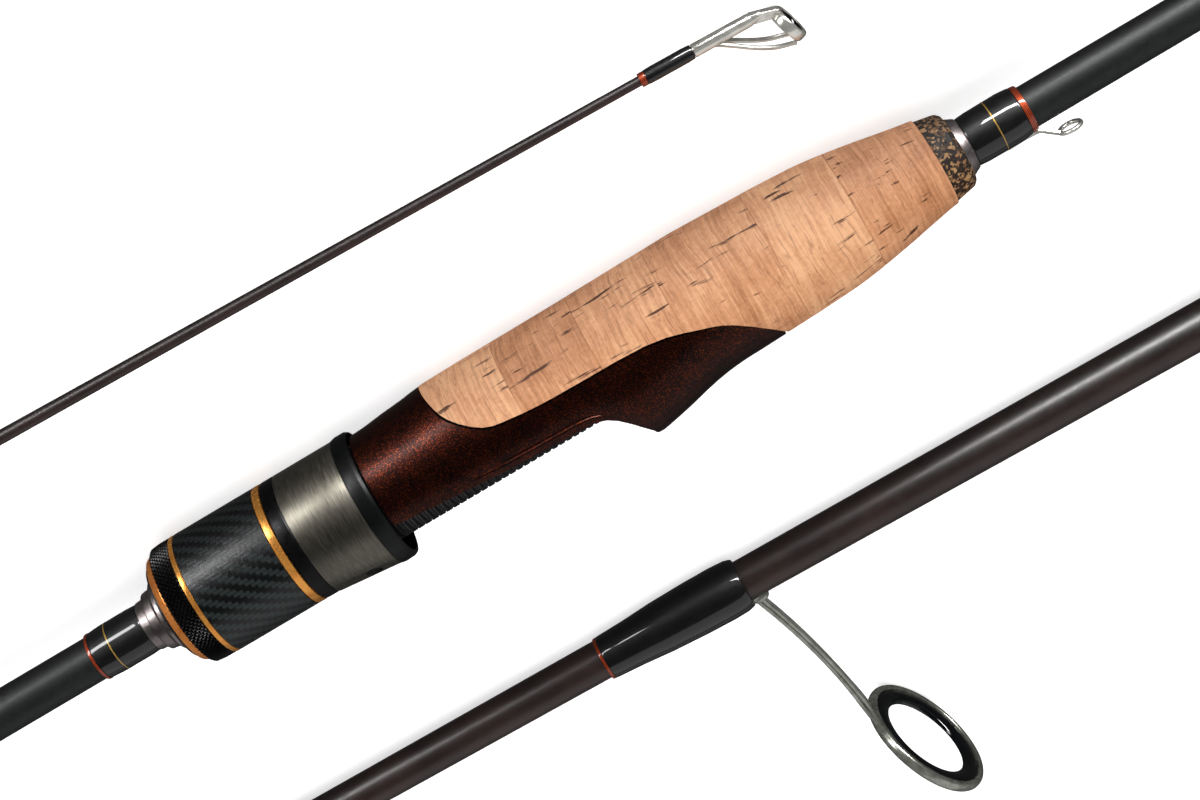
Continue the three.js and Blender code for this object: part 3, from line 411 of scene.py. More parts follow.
burl, tree, shader = finish("burl_cork", specular_ior_level=0.25)
place = put(tree, "TexCoord").outputs["Object"]
wobble = put(tree, "TexNoise", {"Vector": place, "Scale": 900, "Detail": 2})
shaken = put(tree, "VectorMath", {0: put(tree, "VectorMath", {
    0: wobble.outputs["Color"], 1: (0.0006, 0.0006, 0.0006)}, operation="MULTIPLY").outputs[0], 1: place},
    operation="ADD")
granules = put(tree, "TexVoronoi", {"Vector": shaken.outputs[0], "Scale": 1900})
pick_tone = put(tree, "SeparateColor", {0: granules.outputs["Color"]})
granule_color = ramp(tree, pick_tone.outputs[0], (0.0, "#120d09"), (0.45, "#2a1c13"), (0.62, "#4b3322"),
                     (0.80, "#8a6440"), (1.0, "#a98458"))
burl_bump = put(tree, "Bump", {
    "Height": granules.outputs["Distance"], "Strength": 0.4, "Distance": 0.15 * MM})
burl_rough = mottled(tree, place, 700, 0.55, 0.8)
feed(tree, shader, base_color=granule_color.outputs[0], roughness=burl_rough, normal=burl_bump.outputs[0])

rubber, tree, shader = finish("butt_rubber", specular_ior_level=0.3)
place = put(tree, "TexCoord").outputs["Object"]
dusty = ramp(tree, mottled(tree, place, 500, 0.0, 1.0), (0, "#141415"), (1, "#212122"))
rubber_bump = put(tree, "Bump", {"Height": put(tree, "TexNoise", {"Vector": place, "Scale": 4000}).outputs[0],
                                 "Strength": 0.2, "Distance": 0.05 * MM})
feed(tree, shader, base_color=dusty.outputs[0], roughness=mottled(tree, place, 300, 0.6, 0.75),
     normal=rubber_bump.outputs[0])

turning, given = new_group("turning_marks", [("Along", "Float"), ("Pitch", "Float")], ["Height"])
per_mark = reckon(turning, "DIVIDE", given["Along"], given["Pitch"])
mark = put(turning, "TexNoise", {"W": per_mark, "Scale": 1, "Detail": 3}, noise_dimensions="1D")
give(turning, mark.outputs[0])


def turning_marks(tree, pitch):
    """Height of the fine marks that a lathe leaves round a piece, at a pitch in millimetres."""
    node = put(tree, "Group", node_tree=turning)
    tree.links.new(winding(tree)[0], node.inputs["Along"])
    node.inputs["Pitch"].default_value = pitch
    return node.outputs[0]


def anodised(name, dark, light, rough, pitch=0.12, metallic=1.0):
    """Turned aluminium with an anodised colour, its lathe marks just showing."""
    material, tree, shader = finish(name, metallic=metallic)
    place = put(tree, "TexCoord").outputs["Object"]
    marks = turning_marks(tree, pitch)
    drift = mottled(tree, place, 350, 0.0, 0.5)
    blend = reckon(tree, "ADD", reckon(tree, "MULTIPLY", marks, 0.5), drift)
    color = ramp(tree, blend, (0.1, dark), (0.8, light))
    bump = put(tree, "Bump", {"Height": marks, "Strength": 0.25, "Distance": 0.01 * MM})
    feed(tree, shader, base_color=color.outputs[0], roughness=mottled(tree, place, 1500, *rough),
         normal=bump.outputs[0])
    return material


gunmetal = anodised("gunmetal_anodised", "#7d7473", "#a09796", (0.30, 0.42), 0.3)


def toned_cork(piece, tone):
    """Gives a cork ring its own shade and its own stretch of grain."""
    layer = piece.data.attributes.new("tone", "FLOAT", "POINT")
    layer.data.foreach_set("value", [tone] * len(piece.data.vertices))


def knob_radius(x):
    """Radius of the rear grip, which swells to its full size towards the butt."""
    share = min(1, max(0, (x - KNOB_TAPER[0]) / (KNOB_TAPER[1] - KNOB_TAPER[0])))
    return KNOB_RADIUS + (KNOB_FRONT - KNOB_RADIUS) * share * share * (3 - 2 * share)


butt_cap = turned("butt_cap_rubber", rounded([
    (BUTT_CAP[0], 0), (BUTT_CAP[0], KNOB_RADIUS - 4), (BUTT_CAP[0] + 1.2, KNOB_RADIUS - 1.6),
    (BUTT_CAP[0] + 3.5, KNOB_RADIUS - 0.3), (BUTT_CAP[1] - 0.02, KNOB_RADIUS), (BUTT_CAP[1] - 0.02, 0)], 0.8))
lay_down(butt_cap, handle_frame, rubber)
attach(butt_cap, "handle_section")
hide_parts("butt_cap")

for number, (rear, front) in enumerate(REAR_CORK, 1):
    skin = [(rear + (front - rear) * i / 8, knob_radius(rear + (front - rear) * i / 8)) for i in range(9)]
    rear_cork = turned(f"rear_cork_{number}", rounded([(rear, BORE)] + skin + [(front, BORE)], 0.12))
    toned_cork(rear_cork, 0.3 * number)
    lay_down(rear_cork, handle_frame, cork)
    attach(rear_cork, "handle_section")
    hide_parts(f"rear_cork_ring_{number}")

rear_burl = turned("rear_burl", rounded([
    (REAR_BURL[0], BORE), (REAR_BURL[0], KNOB_FRONT), (REAR_BURL[1], KNOB_FRONT - 1.4),
    (REAR_BURL[1], BORE)], 0.4))
lay_down(rear_burl, handle_frame, burl)
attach(rear_burl, "handle_section")
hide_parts("rear_burl_ring")

rear_grip_check = turned("rear_check_ring", rounded([
    (REAR_GRIP_CHECK[0], BORE), (REAR_GRIP_CHECK[0], 6), (REAR_GRIP_CHECK[1], 5.1),
    (REAR_GRIP_CHECK[1], BORE)], 0.2))
lay_down(rear_grip_check, handle_frame, gunmetal)
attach(rear_grip_check, "handle_section")
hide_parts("rear_grip_check")


# ---------------------------------------------------------------------------------------------
# Seat rear binding and check. Black thread is wound on the blank behind the reel seat under a
# coat of epoxy, with a copper band at its end and a fine gold thread; a stepped check follows.

REAR_BINDING = (17.8, 29.1)
BAND_WIDTH = 0.6
GOLD_THREAD = 22.1  # along
GOLD_WIDTH = 0.22
WRAP = 0.4  # height of thread and epoxy over the blank
REAR_CHECK = (29.15, 34.75)
CHECK_STEPS = (4.93, 5.83, 7.2)

lay_of_thread, given = new_group(
    "lay_of_thread", [("Along", "Float"), ("Turn", "Float"), ("Pitch", "Float")], ["Height"])
laps = reckon(lay_of_thread, "DIVIDE", given["Along"], given["Pitch"])
helix = reckon(lay_of_thread, "ADD", laps, given["Turn"])
lap = reckon(lay_of_thread, "MULTIPLY", helix, math.pi)
wave = reckon(lay_of_thread, "SINE", lap)
ridge = reckon(lay_of_thread, "ABSOLUTE", wave)
give(lay_of_thread, ridge)


def bound(name, dark, light, metallic=0.0, thread=0.22):
    """Thread wound round a blank under clear epoxy; its colour darkens into the grooves between laps as
    painted shade and lightens on the crests.
    """
    material, tree, shader = finish(
        name, metallic=metallic, specular_ior_level=0.25, coat_weight=1.0, coat_roughness=0.03)
    place = put(tree, "TexCoord").outputs["Object"]
    run, turns = winding(tree)[:2]
    node = put(tree, "Group", node_tree=lay_of_thread)
    tree.links.new(run, node.inputs["Along"])
    tree.links.new(turns, node.inputs["Turn"])
    node.inputs["Pitch"].default_value = thread
    # Painted shade: the thread's colour runs from dark in the grooves between laps to light on their crests.
    color = ramp(tree, node.outputs[0], (0.15, dark), (0.9, light))
    bump = put(tree, "Bump", {"Height": node.outputs[0], "Strength": 0.35, "Distance": 0.05 * MM})
    feed(tree, shader, base_color=color.outputs[0], roughness=mottled(tree, place, 900, 0.38, 0.52),
         normal=bump.outputs[0])
    return material


# For each binding, the first colour is the thread in the painted shade of its grooves and the second is its
# crests.
black_wrap = bound("black_binding", "#010102", "#050506")
copper_wrap = bound("copper_binding", "#3a0e06", "#a23e19", 0.6, 0.3)
gold_wrap = bound("gold_thread", "#5e4a16", "#c9a04a", 0.6, 0.15)

rear_trim = turned("rear_copper_band", rounded([
    (REAR_BINDING[0], BLANK_REAR + 0.1), (REAR_BINDING[0], BLANK_REAR + WRAP),
    (REAR_BINDING[0] + BAND_WIDTH, BLANK_REAR + WRAP + 0.06),
    (REAR_BINDING[0] + BAND_WIDTH, BLANK_REAR + 0.1)], 0.15))
lay_down(rear_trim, handle_frame, copper_wrap)
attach(rear_trim, "handle_section")
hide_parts("rear_trim_band")

rear_wrap_start = REAR_BINDING[0] + BAND_WIDTH
rear_wrap = turned("rear_binding_wrap", rounded([
    (rear_wrap_start, BLANK_REAR + 0.1), (rear_wrap_start, BLANK_REAR + WRAP - 0.05),
    (rear_wrap_start + 2.5, BLANK_REAR + WRAP + 0.12), (REAR_BINDING[1] - 2, BLANK_REAR + WRAP + 0.14),
    (REAR_BINDING[1], BLANK_REAR + WRAP), (REAR_BINDING[1], BLANK_REAR + 0.1)], 0.3))
lay_down(rear_wrap, handle_frame, black_wrap)
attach(rear_wrap, "handle_section")
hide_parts("rear_binding")

rear_gold = turned("rear_gold_thread", rounded([
    (GOLD_THREAD, BLANK_REAR + 0.3), (GOLD_THREAD, BLANK_REAR + WRAP + 0.15),
    (GOLD_THREAD + GOLD_WIDTH, BLANK_REAR + WRAP + 0.15),
    (GOLD_THREAD + GOLD_WIDTH, BLANK_REAR + 0.3)], 0.05))
lay_down(rear_gold, handle_frame, gold_wrap)
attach(rear_gold, "handle_section")

step = (REAR_CHECK[1] - REAR_CHECK[0]) / 3
small, middle, large = CHECK_STEPS
rear_check = turned("seat_check_steps", rounded([
    (REAR_CHECK[0], BORE), (REAR_CHECK[0], small), (REAR_CHECK[0] + step * 0.95, small + 0.15),
    (REAR_CHECK[0] + step, middle), (REAR_CHECK[0] + 2 * step, middle + 0.3),
    (REAR_CHECK[0] + 2.25 * step, large - 0.1), (REAR_CHECK[1], large), (REAR_CHECK[1], BORE)], 0.18))
lay_down(rear_check, handle_frame, gunmetal)
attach(rear_check, "handle_section")
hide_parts("seat_rear_check")


# ---------------------------------------------------------------------------------------------
# Seat barrel. A moulded black tube on three foam arbors, threaded for the lock nut, with a slot
# along the back that keeps the hood from turning and a flat that the reel's foot beds on.

BARREL = (34.75, 152.05)
BARREL_RADIUS = 10.1
BARREL_BORE = 7.2
THREAD_PITCH = 1.5
THREAD_DEPTH = 0.55
SLOT_WIDTH, SLOT_FLOOR = 3, 8.7
SLOT = (63.55, 85.25)
FLAT = (69.25, 131.25)
FLAT_LEVEL = 9.75
BARREL_CLEAR = BARREL[1] + 0.3  # where the wide bores of what covers the barrel end


def slab(name, corners, width):
    """Pushes an outline of (along, height) corners through Y to the asked width."""
    piece = drawn(name, [(x, -width / 2, z) for x, z in corners])
    bpy.ops.mesh.edge_face_add()
    bpy.ops.mesh.extrude_region_move(TRANSFORM_OT_translate={"value": (0, width * MM, 0)})
    bpy.ops.mesh.select_all(action="SELECT")
    bpy.ops.mesh.normals_make_consistent(inside=False)
    bpy.ops.object.mode_set(mode="OBJECT")
    return piece


def carve(piece, *cutters):
    """Cuts other solids out of a piece and throws them away."""
    bpy.context.view_layer.objects.active = piece
    for cutter in cutters:
        cut = piece.modifiers.new("carve", "BOOLEAN")
        cut.operation = "DIFFERENCE"
        cut.solver = "EXACT"
        cut.object = cutter
        bpy.ops.object.modifier_apply(modifier=cut.name)
        bpy.data.objects.remove(cutter)


moulded, tree, shader = finish("moulded_black", specular_ior_level=0.4)
place = put(tree, "TexCoord").outputs["Object"]
shade = ramp(tree, mottled(tree, place, 400, 0.0, 1.0), (0, "#0b0b0c"), (1, "#161617"))
feed(tree, shader, base_color=shade.outputs[0], roughness=mottled(tree, place, 1500, 0.38, 0.55))

thread = [(BARREL[0], BARREL_BORE), (BARREL[0], BARREL_RADIUS - THREAD_DEPTH)]
x = BARREL[0] + 0.6
while x + THREAD_PITCH < BARREL[1]:
    thread += [(x, BARREL_RADIUS - THREAD_DEPTH), (x + 0.35, BARREL_RADIUS), (x + 0.75, BARREL_RADIUS),
               (x + 1.1, BARREL_RADIUS - THREAD_DEPTH)]
    x += THREAD_PITCH
thread += [(BARREL[1], BARREL_RADIUS - THREAD_DEPTH), (BARREL[1], BARREL_BORE)]
barrel = turned("seat_barrel_thread", thread, 72)
carve(
    barrel,
    slab("slot_cutter", [(SLOT[0], SLOT_FLOOR), (SLOT[1], SLOT_FLOOR), (SLOT[1], 12), (SLOT[0], 12)],
         SLOT_WIDTH),
    slab("flat_cutter", [(FLAT[0], -FLAT_LEVEL), (FLAT[1], -FLAT_LEVEL), (FLAT[1], -12), (FLAT[0], -12)], 22))
lay_down(barrel, handle_frame, moulded)
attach(barrel, "handle_section")
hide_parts("seat_barrel")

foam, tree, shader = finish("arbor_foam", specular_ior_level=0.2)
place = put(tree, "TexCoord").outputs["Object"]
bubbles = put(tree, "TexVoronoi", {"Vector": place, "Scale": 1400})
# Painted shade: the foam is darker towards the middle of each pore, where its hollow lies.
shade = ramp(tree, bubbles.outputs["Distance"], (0, "#7d7a70"), (0.8, "#a5a195"))
foam_bump = put(tree, "Bump", {"Height": bubbles.outputs["Distance"], "Strength": 0.5, "Distance": 0.2 * MM})
feed(tree, shader, base_color=shade.outputs[0], roughness=mottled(tree, place, 800, 0.8, 0.95),
     normal=foam_bump.outputs[0])
for name in ("rear_arbor", "middle_arbor", "front_arbor"):
    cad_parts[name].data.materials.clear()
    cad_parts[name].data.materials.append(foam)


# ---------------------------------------------------------------------------------------------
# Lock nut. An anodised core carries a knurled black ring, a thin gold ring, a sleeve of woven
# carbon, a gold collar and a black front ring, pressed on one after the other.

NUT_START = 35.45
FLANGE_END = 36.85
KNURL_END = 41.05
THIN_RING_END = 42.05
SLEEVE_END = 58.95
COLLAR_END = 60.55
NUT_END = 63.55
NUT_RADIUS = 12.2
NUT_CORE_RADIUS = 11.1
NUT_BORE = 10.4

copper = anodised("copper_anodised", "#c96f2c", "#f29c50", (0.26, 0.36), 0.25, 0.6)
gold = anodised("gold_anodised", "#c0742a", "#efa850", (0.20, 0.30), 0.2, 0.65)
black_metal = anodised("black_anodised", "#060607", "#121214", (0.26, 0.40), 0.25, 0.75)

nut_core = turned("nut_core_copper", rounded([
    (NUT_START, NUT_BORE), (NUT_END - 0.02, NUT_BORE), (NUT_END - 0.02, NUT_CORE_RADIUS),
    (FLANGE_END, NUT_CORE_RADIUS), (FLANGE_END, NUT_CORE_RADIUS + 0.3),
    (NUT_START, NUT_CORE_RADIUS - 0.5)], 0.2))
lay_down(nut_core, handle_frame, copper)
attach(nut_core, "lock_nut")
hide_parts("nut_core")

STUD_ROWS = 8
STUDS_ROUND = 74
STUD_HEIGHT = 0.42
knurl_ring = turned("nut_knurl_ring", rounded([
    (FLANGE_END + 0.03, NUT_CORE_RADIUS + 0.1), (FLANGE_END + 0.03, NUT_CORE_RADIUS + 0.15),
    (FLANGE_END + 0.5, NUT_RADIUS - 0.62), (KNURL_END - 0.05, NUT_RADIUS - 0.4),
    (KNURL_END - 0.05, NUT_CORE_RADIUS + 0.1)], 0.1))
row_step = (KNURL_END - FLANGE_END - 0.4) / STUD_ROWS
bpy.context.view_layer.objects.active = knurl_ring
bpy.ops.object.mode_set(mode="EDIT")
for row in range(STUD_ROWS):
    bpy.ops.mesh.select_all(action="DESELECT")
    x = FLANGE_END + 0.2 + (row + 0.5) * row_step
    seat = NUT_RADIUS - 0.62 + 0.22 * min(1, (x - FLANGE_END) / 2)
    bpy.ops.mesh.primitive_cone_add(
        vertices=4, radius1=row_step * 1.02, radius2=row_step * 0.12, depth=STUD_HEIGHT, scale=(MM, MM, MM),
        location=(x * MM, 0, (seat + STUD_HEIGHT / 2 - 0.03) * MM))
    bpy.ops.transform.rotate(
        value=(row % 2) * math.pi / STUDS_ROUND, orient_axis="X", center_override=(0, 0, 0))
    bpy.ops.mesh.spin(
        steps=STUDS_ROUND - 1, dupli=True, angle=math.tau * (STUDS_ROUND - 1) / STUDS_ROUND,
        center=(0, 0, 0), axis=(1, 0, 0))
bpy.ops.object.mode_set(mode="OBJECT")
lay_down(knurl_ring, handle_frame, black_metal, 20)
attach(knurl_ring, "lock_nut")
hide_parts("nut_knurled_ring")


def nut_ring(name, start, end, finish_of_ring, edge):
    """One of the rings pressed on the core, its outer corners eased."""
    ring = turned(name, rounded([
        (start + 0.02, NUT_CORE_RADIUS + 0.05), (start + 0.02, NUT_RADIUS), (end - 0.02, NUT_RADIUS),
        (end - 0.02, NUT_CORE_RADIUS + 0.05)], edge))
    lay_down(ring, handle_frame, finish_of_ring)
    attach(ring, "lock_nut")
    return ring


thin_ring = nut_ring("nut_thin_gold", KNURL_END, THIN_RING_END, gold, 0.2)
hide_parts("nut_thin_ring")

TOW = 0.95  # width of one tow of the weave along the sleeve, in millimetres
TOWS_ROUND = 104
weave, tree, shader = finish("woven_carbon", specular_ior_level=0.35, coat_weight=0.15, coat_roughness=0.3)
place = put(tree, "TexCoord").outputs["Object"]
run, turns = winding(tree)[:2]
across_tow = reckon(tree, "MULTIPLY", run, 1 / TOW)
round_tow = reckon(tree, "MULTIPLY", turns, TOWS_ROUND)
column = reckon(tree, "FLOOR", across_tow)
row_index = reckon(tree, "FLOOR", round_tow)
diagonal = reckon(tree, "ADD", column, row_index)
shift = reckon(tree, "ADD", diagonal, 400)
phase = reckon(tree, "MODULO", shift, 4)
over = reckon(tree, "LESS_THAN", phase, 1.5)
along_cell = reckon(tree, "FRACT", across_tow)
round_cell = reckon(tree, "FRACT", round_tow)


def hump(tree, share):
    """A rounded height across one tow."""
    centred = reckon(tree, "SUBTRACT", share, 0.5)
    square = reckon(tree, "MULTIPLY", centred, centred)
    return reckon(tree, "MULTIPLY_ADD", square, -4.0, 1.0)


along_hump = hump(tree, round_cell)
round_hump = hump(tree, along_cell)
tow_height = put(tree, "Mix", {"Factor": over}, data_type="FLOAT")
tree.links.new(round_hump, tow_height.inputs[2])
tree.links.new(along_hump, tow_height.inputs[3])
fibres = put(tree, "TexNoise", {"Vector": place, "Scale": 5000, "Detail": 2})
# Painted light: tows lying on top are lighter, a painted sheen for the light caught by fibres running that
# way, and each tow is lighter along its crown as painted shading of its roundness. The fibre noise is the
# weave's own grain.
top_tow_painted_sheen = reckon(tree, "MULTIPLY", over, 0.6)
painted_tow_roundness_shade = reckon(tree, "MULTIPLY", tow_height.outputs[0], 0.28)
fibre_shade = reckon(tree, "MULTIPLY", fibres.outputs[0], 0.12)
painted_weave_light = reckon(tree, "ADD", top_tow_painted_sheen, painted_tow_roundness_shade)
weave_all = reckon(tree, "ADD", painted_weave_light, fibre_shade)
weave_color = ramp(tree, weave_all, (0.1, "#010202"), (0.5, "#030404"), (0.9, "#1a2021"))
weave_bump = put(tree, "Bump", {"Height": tow_height.outputs[0], "Strength": 0.25, "Distance": 0.06 * MM})
feed(tree, shader, base_color=weave_color.outputs[0], roughness=mottled(tree, place, 1200, 0.30, 0.42),
     normal=weave_bump.outputs[0])

sleeve = nut_ring("nut_woven_sleeve", THIN_RING_END, SLEEVE_END, weave, 0.15)
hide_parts("nut_carbon_sleeve")

collar = nut_ring("nut_gold_collar", SLEEVE_END, COLLAR_END, gold, 0.3)
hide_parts("nut_collar_ring")

front_ring = nut_ring("nut_black_ring", COLLAR_END, NUT_END, black_metal, 0.5)
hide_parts("nut_front_ring")


# ---------------------------------------------------------------------------------------------
# Sliding hood. A brushed metal shell that the nut pushes over the reel's foot: round at the back,
# deeper towards the reel, with a black moulded lip, a flush pin, and a key that rides in the slot.

HOOD = (63.55, 76.05)
LIP = (76.05, 79.25)
HOOD_WALL = 0.5
HOOD_REAR_WALL = 1.4
HOOD_REAR_DEPTH = 12.3
HOOD_FRONT_DEPTH = 13.5
LIP_RADIUS = 12.5
LIP_DEPTH = 13.7
PIN_ALONG = 71.35
PIN_RADIUS = 1.45
PIN_LENGTH = 1.2
PIN_SUNK = 0.16  # its head, under the shell
PIN_GAP = 0.12
PIN_ROUND = math.radians(17)  # from straight towards the reel
SILL = 0.02  # eases neighbours apart, so that no two faces share a plane


def pick(piece, wanted):
    """Goes into edit mode with only the wanted vertices selected."""
    bpy.ops.object.select_all(action="DESELECT")
    piece.select_set(True)
    bpy.context.view_layer.objects.active = piece
    bpy.ops.object.mode_set(mode="EDIT")
    bpy.ops.mesh.select_mode(type="VERT")
    bpy.ops.mesh.select_all(action="DESELECT")
    bpy.ops.object.mode_set(mode="OBJECT")
    for vertex in piece.data.vertices:
        vertex.select = wanted(vertex.co / MM)
    bpy.ops.object.mode_set(mode="EDIT")


def deepen(piece, x, radius, depth):
    """Stretches the reel side of one round of a turned piece from its radius to a depth."""
    def on_round(co):
        return abs(co.x - x) < 0.02 and abs(math.hypot(co.y, co.z) - radius) < 0.02 and co.z < 0
    pick(piece, on_round)
    bpy.ops.transform.resize(value=(1, 1, depth / radius), center_override=(x * MM, 0, 0))
    bpy.ops.object.mode_set(mode="OBJECT")


def eased(piece, width, segments=2, angle=40):
    """Bevels a piece's sharp edges."""
    bpy.context.view_layer.objects.active = piece
    bevel = piece.modifiers.new("eased", "BEVEL")
    bevel.width = width * MM
    bevel.segments = segments
    bevel.limit_method = "ANGLE"
    bevel.angle_limit = math.radians(angle)
    bpy.ops.object.modifier_apply(modifier=bevel.name)


def hood_depth(x):
    """How deep the hood is towards the reel at a place along it."""
    return HOOD_REAR_DEPTH + (HOOD_FRONT_DEPTH - HOOD_REAR_DEPTH) * (x - HOOD[0]) / (HOOD[1] - HOOD[0])


brushed, tree, shader = finish("brushed_hood", metallic=1.0)
uv = put(tree, "UVMap", uv_map="wound").outputs[0]
strokes_lay = put(tree, "Mapping", {"Vector": uv, "Scale": (9, 16, 1)})
strokes = put(tree, "TexNoise", {"Vector": strokes_lay.outputs[0], "Scale": 1, "Detail": 4, "Roughness": 0.6})
scuffs_lay = put(tree, "Mapping", {"Vector": uv, "Scale": (2.2, 30, 1)})
scuffs = put(tree, "TexNoise", {"Vector": scuffs_lay.outputs[0], "Scale": 1, "Detail": 3})
stroke_sum = reckon(tree, "ADD", reckon(tree, "MULTIPLY", strokes.outputs[0], 0.7),
    reckon(tree, "MULTIPLY", scuffs.outputs[0], 0.3))
hood_color = ramp(tree, stroke_sum, (0.3, "#4f4c45"), (0.5, "#69655c"), (0.7, "#858177"))
hood_rough = put(tree, "MapRange", {"Value": strokes.outputs[0], "From Min": 0.3, "From Max": 0.7,
                                    "To Min": 0.30, "To Max": 0.46})
hood_bump = put(tree, "Bump", {"Height": strokes.outputs[0], "Strength": 0.2, "Distance": 0.02 * MM})
feed(tree, shader, base_color=hood_color.outputs[0], roughness=hood_rough.outputs[0],
     normal=hood_bump.outputs[0])

inside = HOOD[0] + HOOD_REAR_WALL
hood_inner = NUT_RADIUS - HOOD_WALL
hood_shell = turned("hood_brushed_shell", [
    (HOOD[0] + SILL, NUT_BORE), (HOOD[0] + SILL, NUT_RADIUS), (HOOD[1] - SILL, NUT_RADIUS),
    (HOOD[1] - SILL, hood_inner), (inside, hood_inner), (inside, NUT_BORE)], 128)
deepen(hood_shell, HOOD[0] + SILL, NUT_RADIUS, HOOD_REAR_DEPTH)
deepen(hood_shell, HOOD[1] - SILL, NUT_RADIUS, HOOD_FRONT_DEPTH)
deepen(hood_shell, HOOD[1] - SILL, hood_inner, HOOD_FRONT_DEPTH - HOOD_WALL)
deepen(hood_shell, inside, hood_inner, hood_depth(inside) - HOOD_WALL)
pin_turn = Matrix.Rotation(-PIN_ROUND, 4, "X") @ Matrix.Rotation(math.pi / 2, 4, "Y")
pin_place = Matrix.Translation(Vector((PIN_ALONG * MM, 0, 0))) @ pin_turn
pin_hole = turned("pin_hole", [(10, 0), (10, PIN_RADIUS + PIN_GAP), (15, PIN_RADIUS + PIN_GAP), (15, 0)], 32)
pin_hole.data.transform(pin_place)
carve(hood_shell, pin_hole)
eased(hood_shell, 0.12)
lay_down(hood_shell, handle_frame, brushed, 28)
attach(hood_shell, "hood")
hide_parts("hood_shell")

satin, tree, shader = finish("satin_moulding", specular_ior_level=0.2)
place = put(tree, "TexCoord").outputs["Object"]
shade = ramp(tree, mottled(tree, place, 300, 0.0, 1.0), (0, "#030404"), (1, "#090a0b"))
skin_bump = put(tree, "Bump", {"Height": put(tree, "TexNoise", {"Vector": place, "Scale": 6000}).outputs[0],
                               "Strength": 0.12, "Distance": 0.02 * MM})
feed(tree, shader, base_color=shade.outputs[0], roughness=mottled(tree, place, 1500, 0.30, 0.42),
     normal=skin_bump.outputs[0])

pin_head = hood_depth(PIN_ALONG) - PIN_SUNK
hood_pin = turned("hood_flush_pin", rounded([
    (pin_head - PIN_LENGTH, 0), (pin_head - PIN_LENGTH, PIN_RADIUS),
    (pin_head, PIN_RADIUS), (pin_head, 0)], 0.2), 32)
hood_pin.data.transform(pin_place)
lay_down(hood_pin, handle_frame, satin)
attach(hood_pin, "hood")
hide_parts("hood_pin")

lip_inner = LIP_RADIUS - HOOD_WALL
hood_lip = turned("hood_moulded_lip", [
    (LIP[0] + SILL, lip_inner), (LIP[0] + SILL, LIP_RADIUS - 0.2), (LIP[0] + 0.8, LIP_RADIUS),
    (LIP[1] - 0.6, LIP_RADIUS), (LIP[1] - 0.01, LIP_RADIUS - 0.3), (LIP[1] - 0.01, lip_inner)], 128)
for x, radius, depth in (
        (LIP[0] + SILL, lip_inner, LIP_DEPTH - 2 * HOOD_WALL),
        (LIP[1] - 0.01, lip_inner, LIP_DEPTH - 2 * HOOD_WALL),
        (LIP[0] + SILL, LIP_RADIUS - 0.2, LIP_DEPTH - 0.1), (LIP[0] + 0.8, LIP_RADIUS, LIP_DEPTH),
        (LIP[1] - 0.6, LIP_RADIUS, LIP_DEPTH - 0.1), (LIP[1] - 0.01, LIP_RADIUS - 0.3, LIP_DEPTH - 0.4)):
    deepen(hood_lip, x, radius, depth)
eased(hood_lip, 0.2, 3, 25)
lay_down(hood_lip, handle_frame, satin)
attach(hood_lip, "hood")
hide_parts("hood_lip")

KEY_LENGTH, KEY_WIDTH, KEY_TOP = 7, 2.4, 11.3
key_start = inside + 0.3
hood_key = slab("hood_slot_key", [
    (key_start, SLOT_FLOOR + 0.3), (key_start + KEY_LENGTH, SLOT_FLOOR + 0.3),
    (key_start + KEY_LENGTH, KEY_TOP), (key_start, KEY_TOP)], KEY_WIDTH)
wound(hood_key)
eased(hood_key, 0.25)
lay_down(hood_key, handle_frame, gunmetal)
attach(hood_key, "hood")
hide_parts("hood_key")


# ---------------------------------------------------------------------------------------------
# Seat body. One moulding carries the fixed hood and the open channel for the reel's foot. It is
# lacquered in a dark root-beer colour full of fine metal flake, and meets the cork in a long S.

BODY_LENGTH = 78.3
BODY_SHAPE = [
    # along, radius round the back, depth towards the reel
    (0, 11.25, 11.25), (3.3, 11.4, 11.4), (7.3, 11.85, 11.85), (11.6, 12.2, 12.2), (16, 12.7, 12.7),
    (24, 12.9, 12.9), (34, 12.95, 12.95), (40, 12.98, 13.45), (44, 13, 14.5), (47, 13.05, 15.9),
    (49.6, 13.1, 16.85), (52, 13.15, 16.6), (57, 13.2, 15.6), (61.1, 13.25, 14.6), (65.3, 13.3, 13.8),
    (69.4, 13.33, 13.4), (73, 13.25, 13.3), (BODY_LENGTH, 13.05, 13.1)]
CHANNEL_EDGE = [
    (0, -7), (12, -7.95), (24, -8.8), (34, -9.1), (41, -9.4),
    (43, -10.1), (44.6, -11.2), (46.4, -13), (49, -16.1)]
POCKET = [(38, 9.5, 11), (44, 9.5, 13.1), (49.4, 9.5, 15.6), (57, 9.2, 14.2), (60, 8.4, 12.6)]
CORK_LINE = [
    (15.6, 13.5), (16.6, 9), (18.6, 4.3), (23.4, -0.1), (29, -1.3), (37, -1.9), (55.6, -2.3),
    (65.1, -4.6), (71.1, -7), (78.4, -12.7), (79.6, -14.2)]
BEAD = [(11.6, -6.7), (24, -7.6), (34, -7.9), (40, -8.2), (44, -9.4)]  # raised along the channel's edge
BEAD_RADIUS = 0.5
BEAD_PROUD = 0.05  # of its middle line over the body; its ends sink by BEAD_SUNK
BEAD_SUNK = 0.7
HOOD_GAP = 0.3  # between the open hood and the body
GROOVE = 0.3  # width of the line between the body and the cork, which closes towards its front
GROOVE_END, GROOVE_FADE = 74, 12  # along: it narrows towards this place, over this length


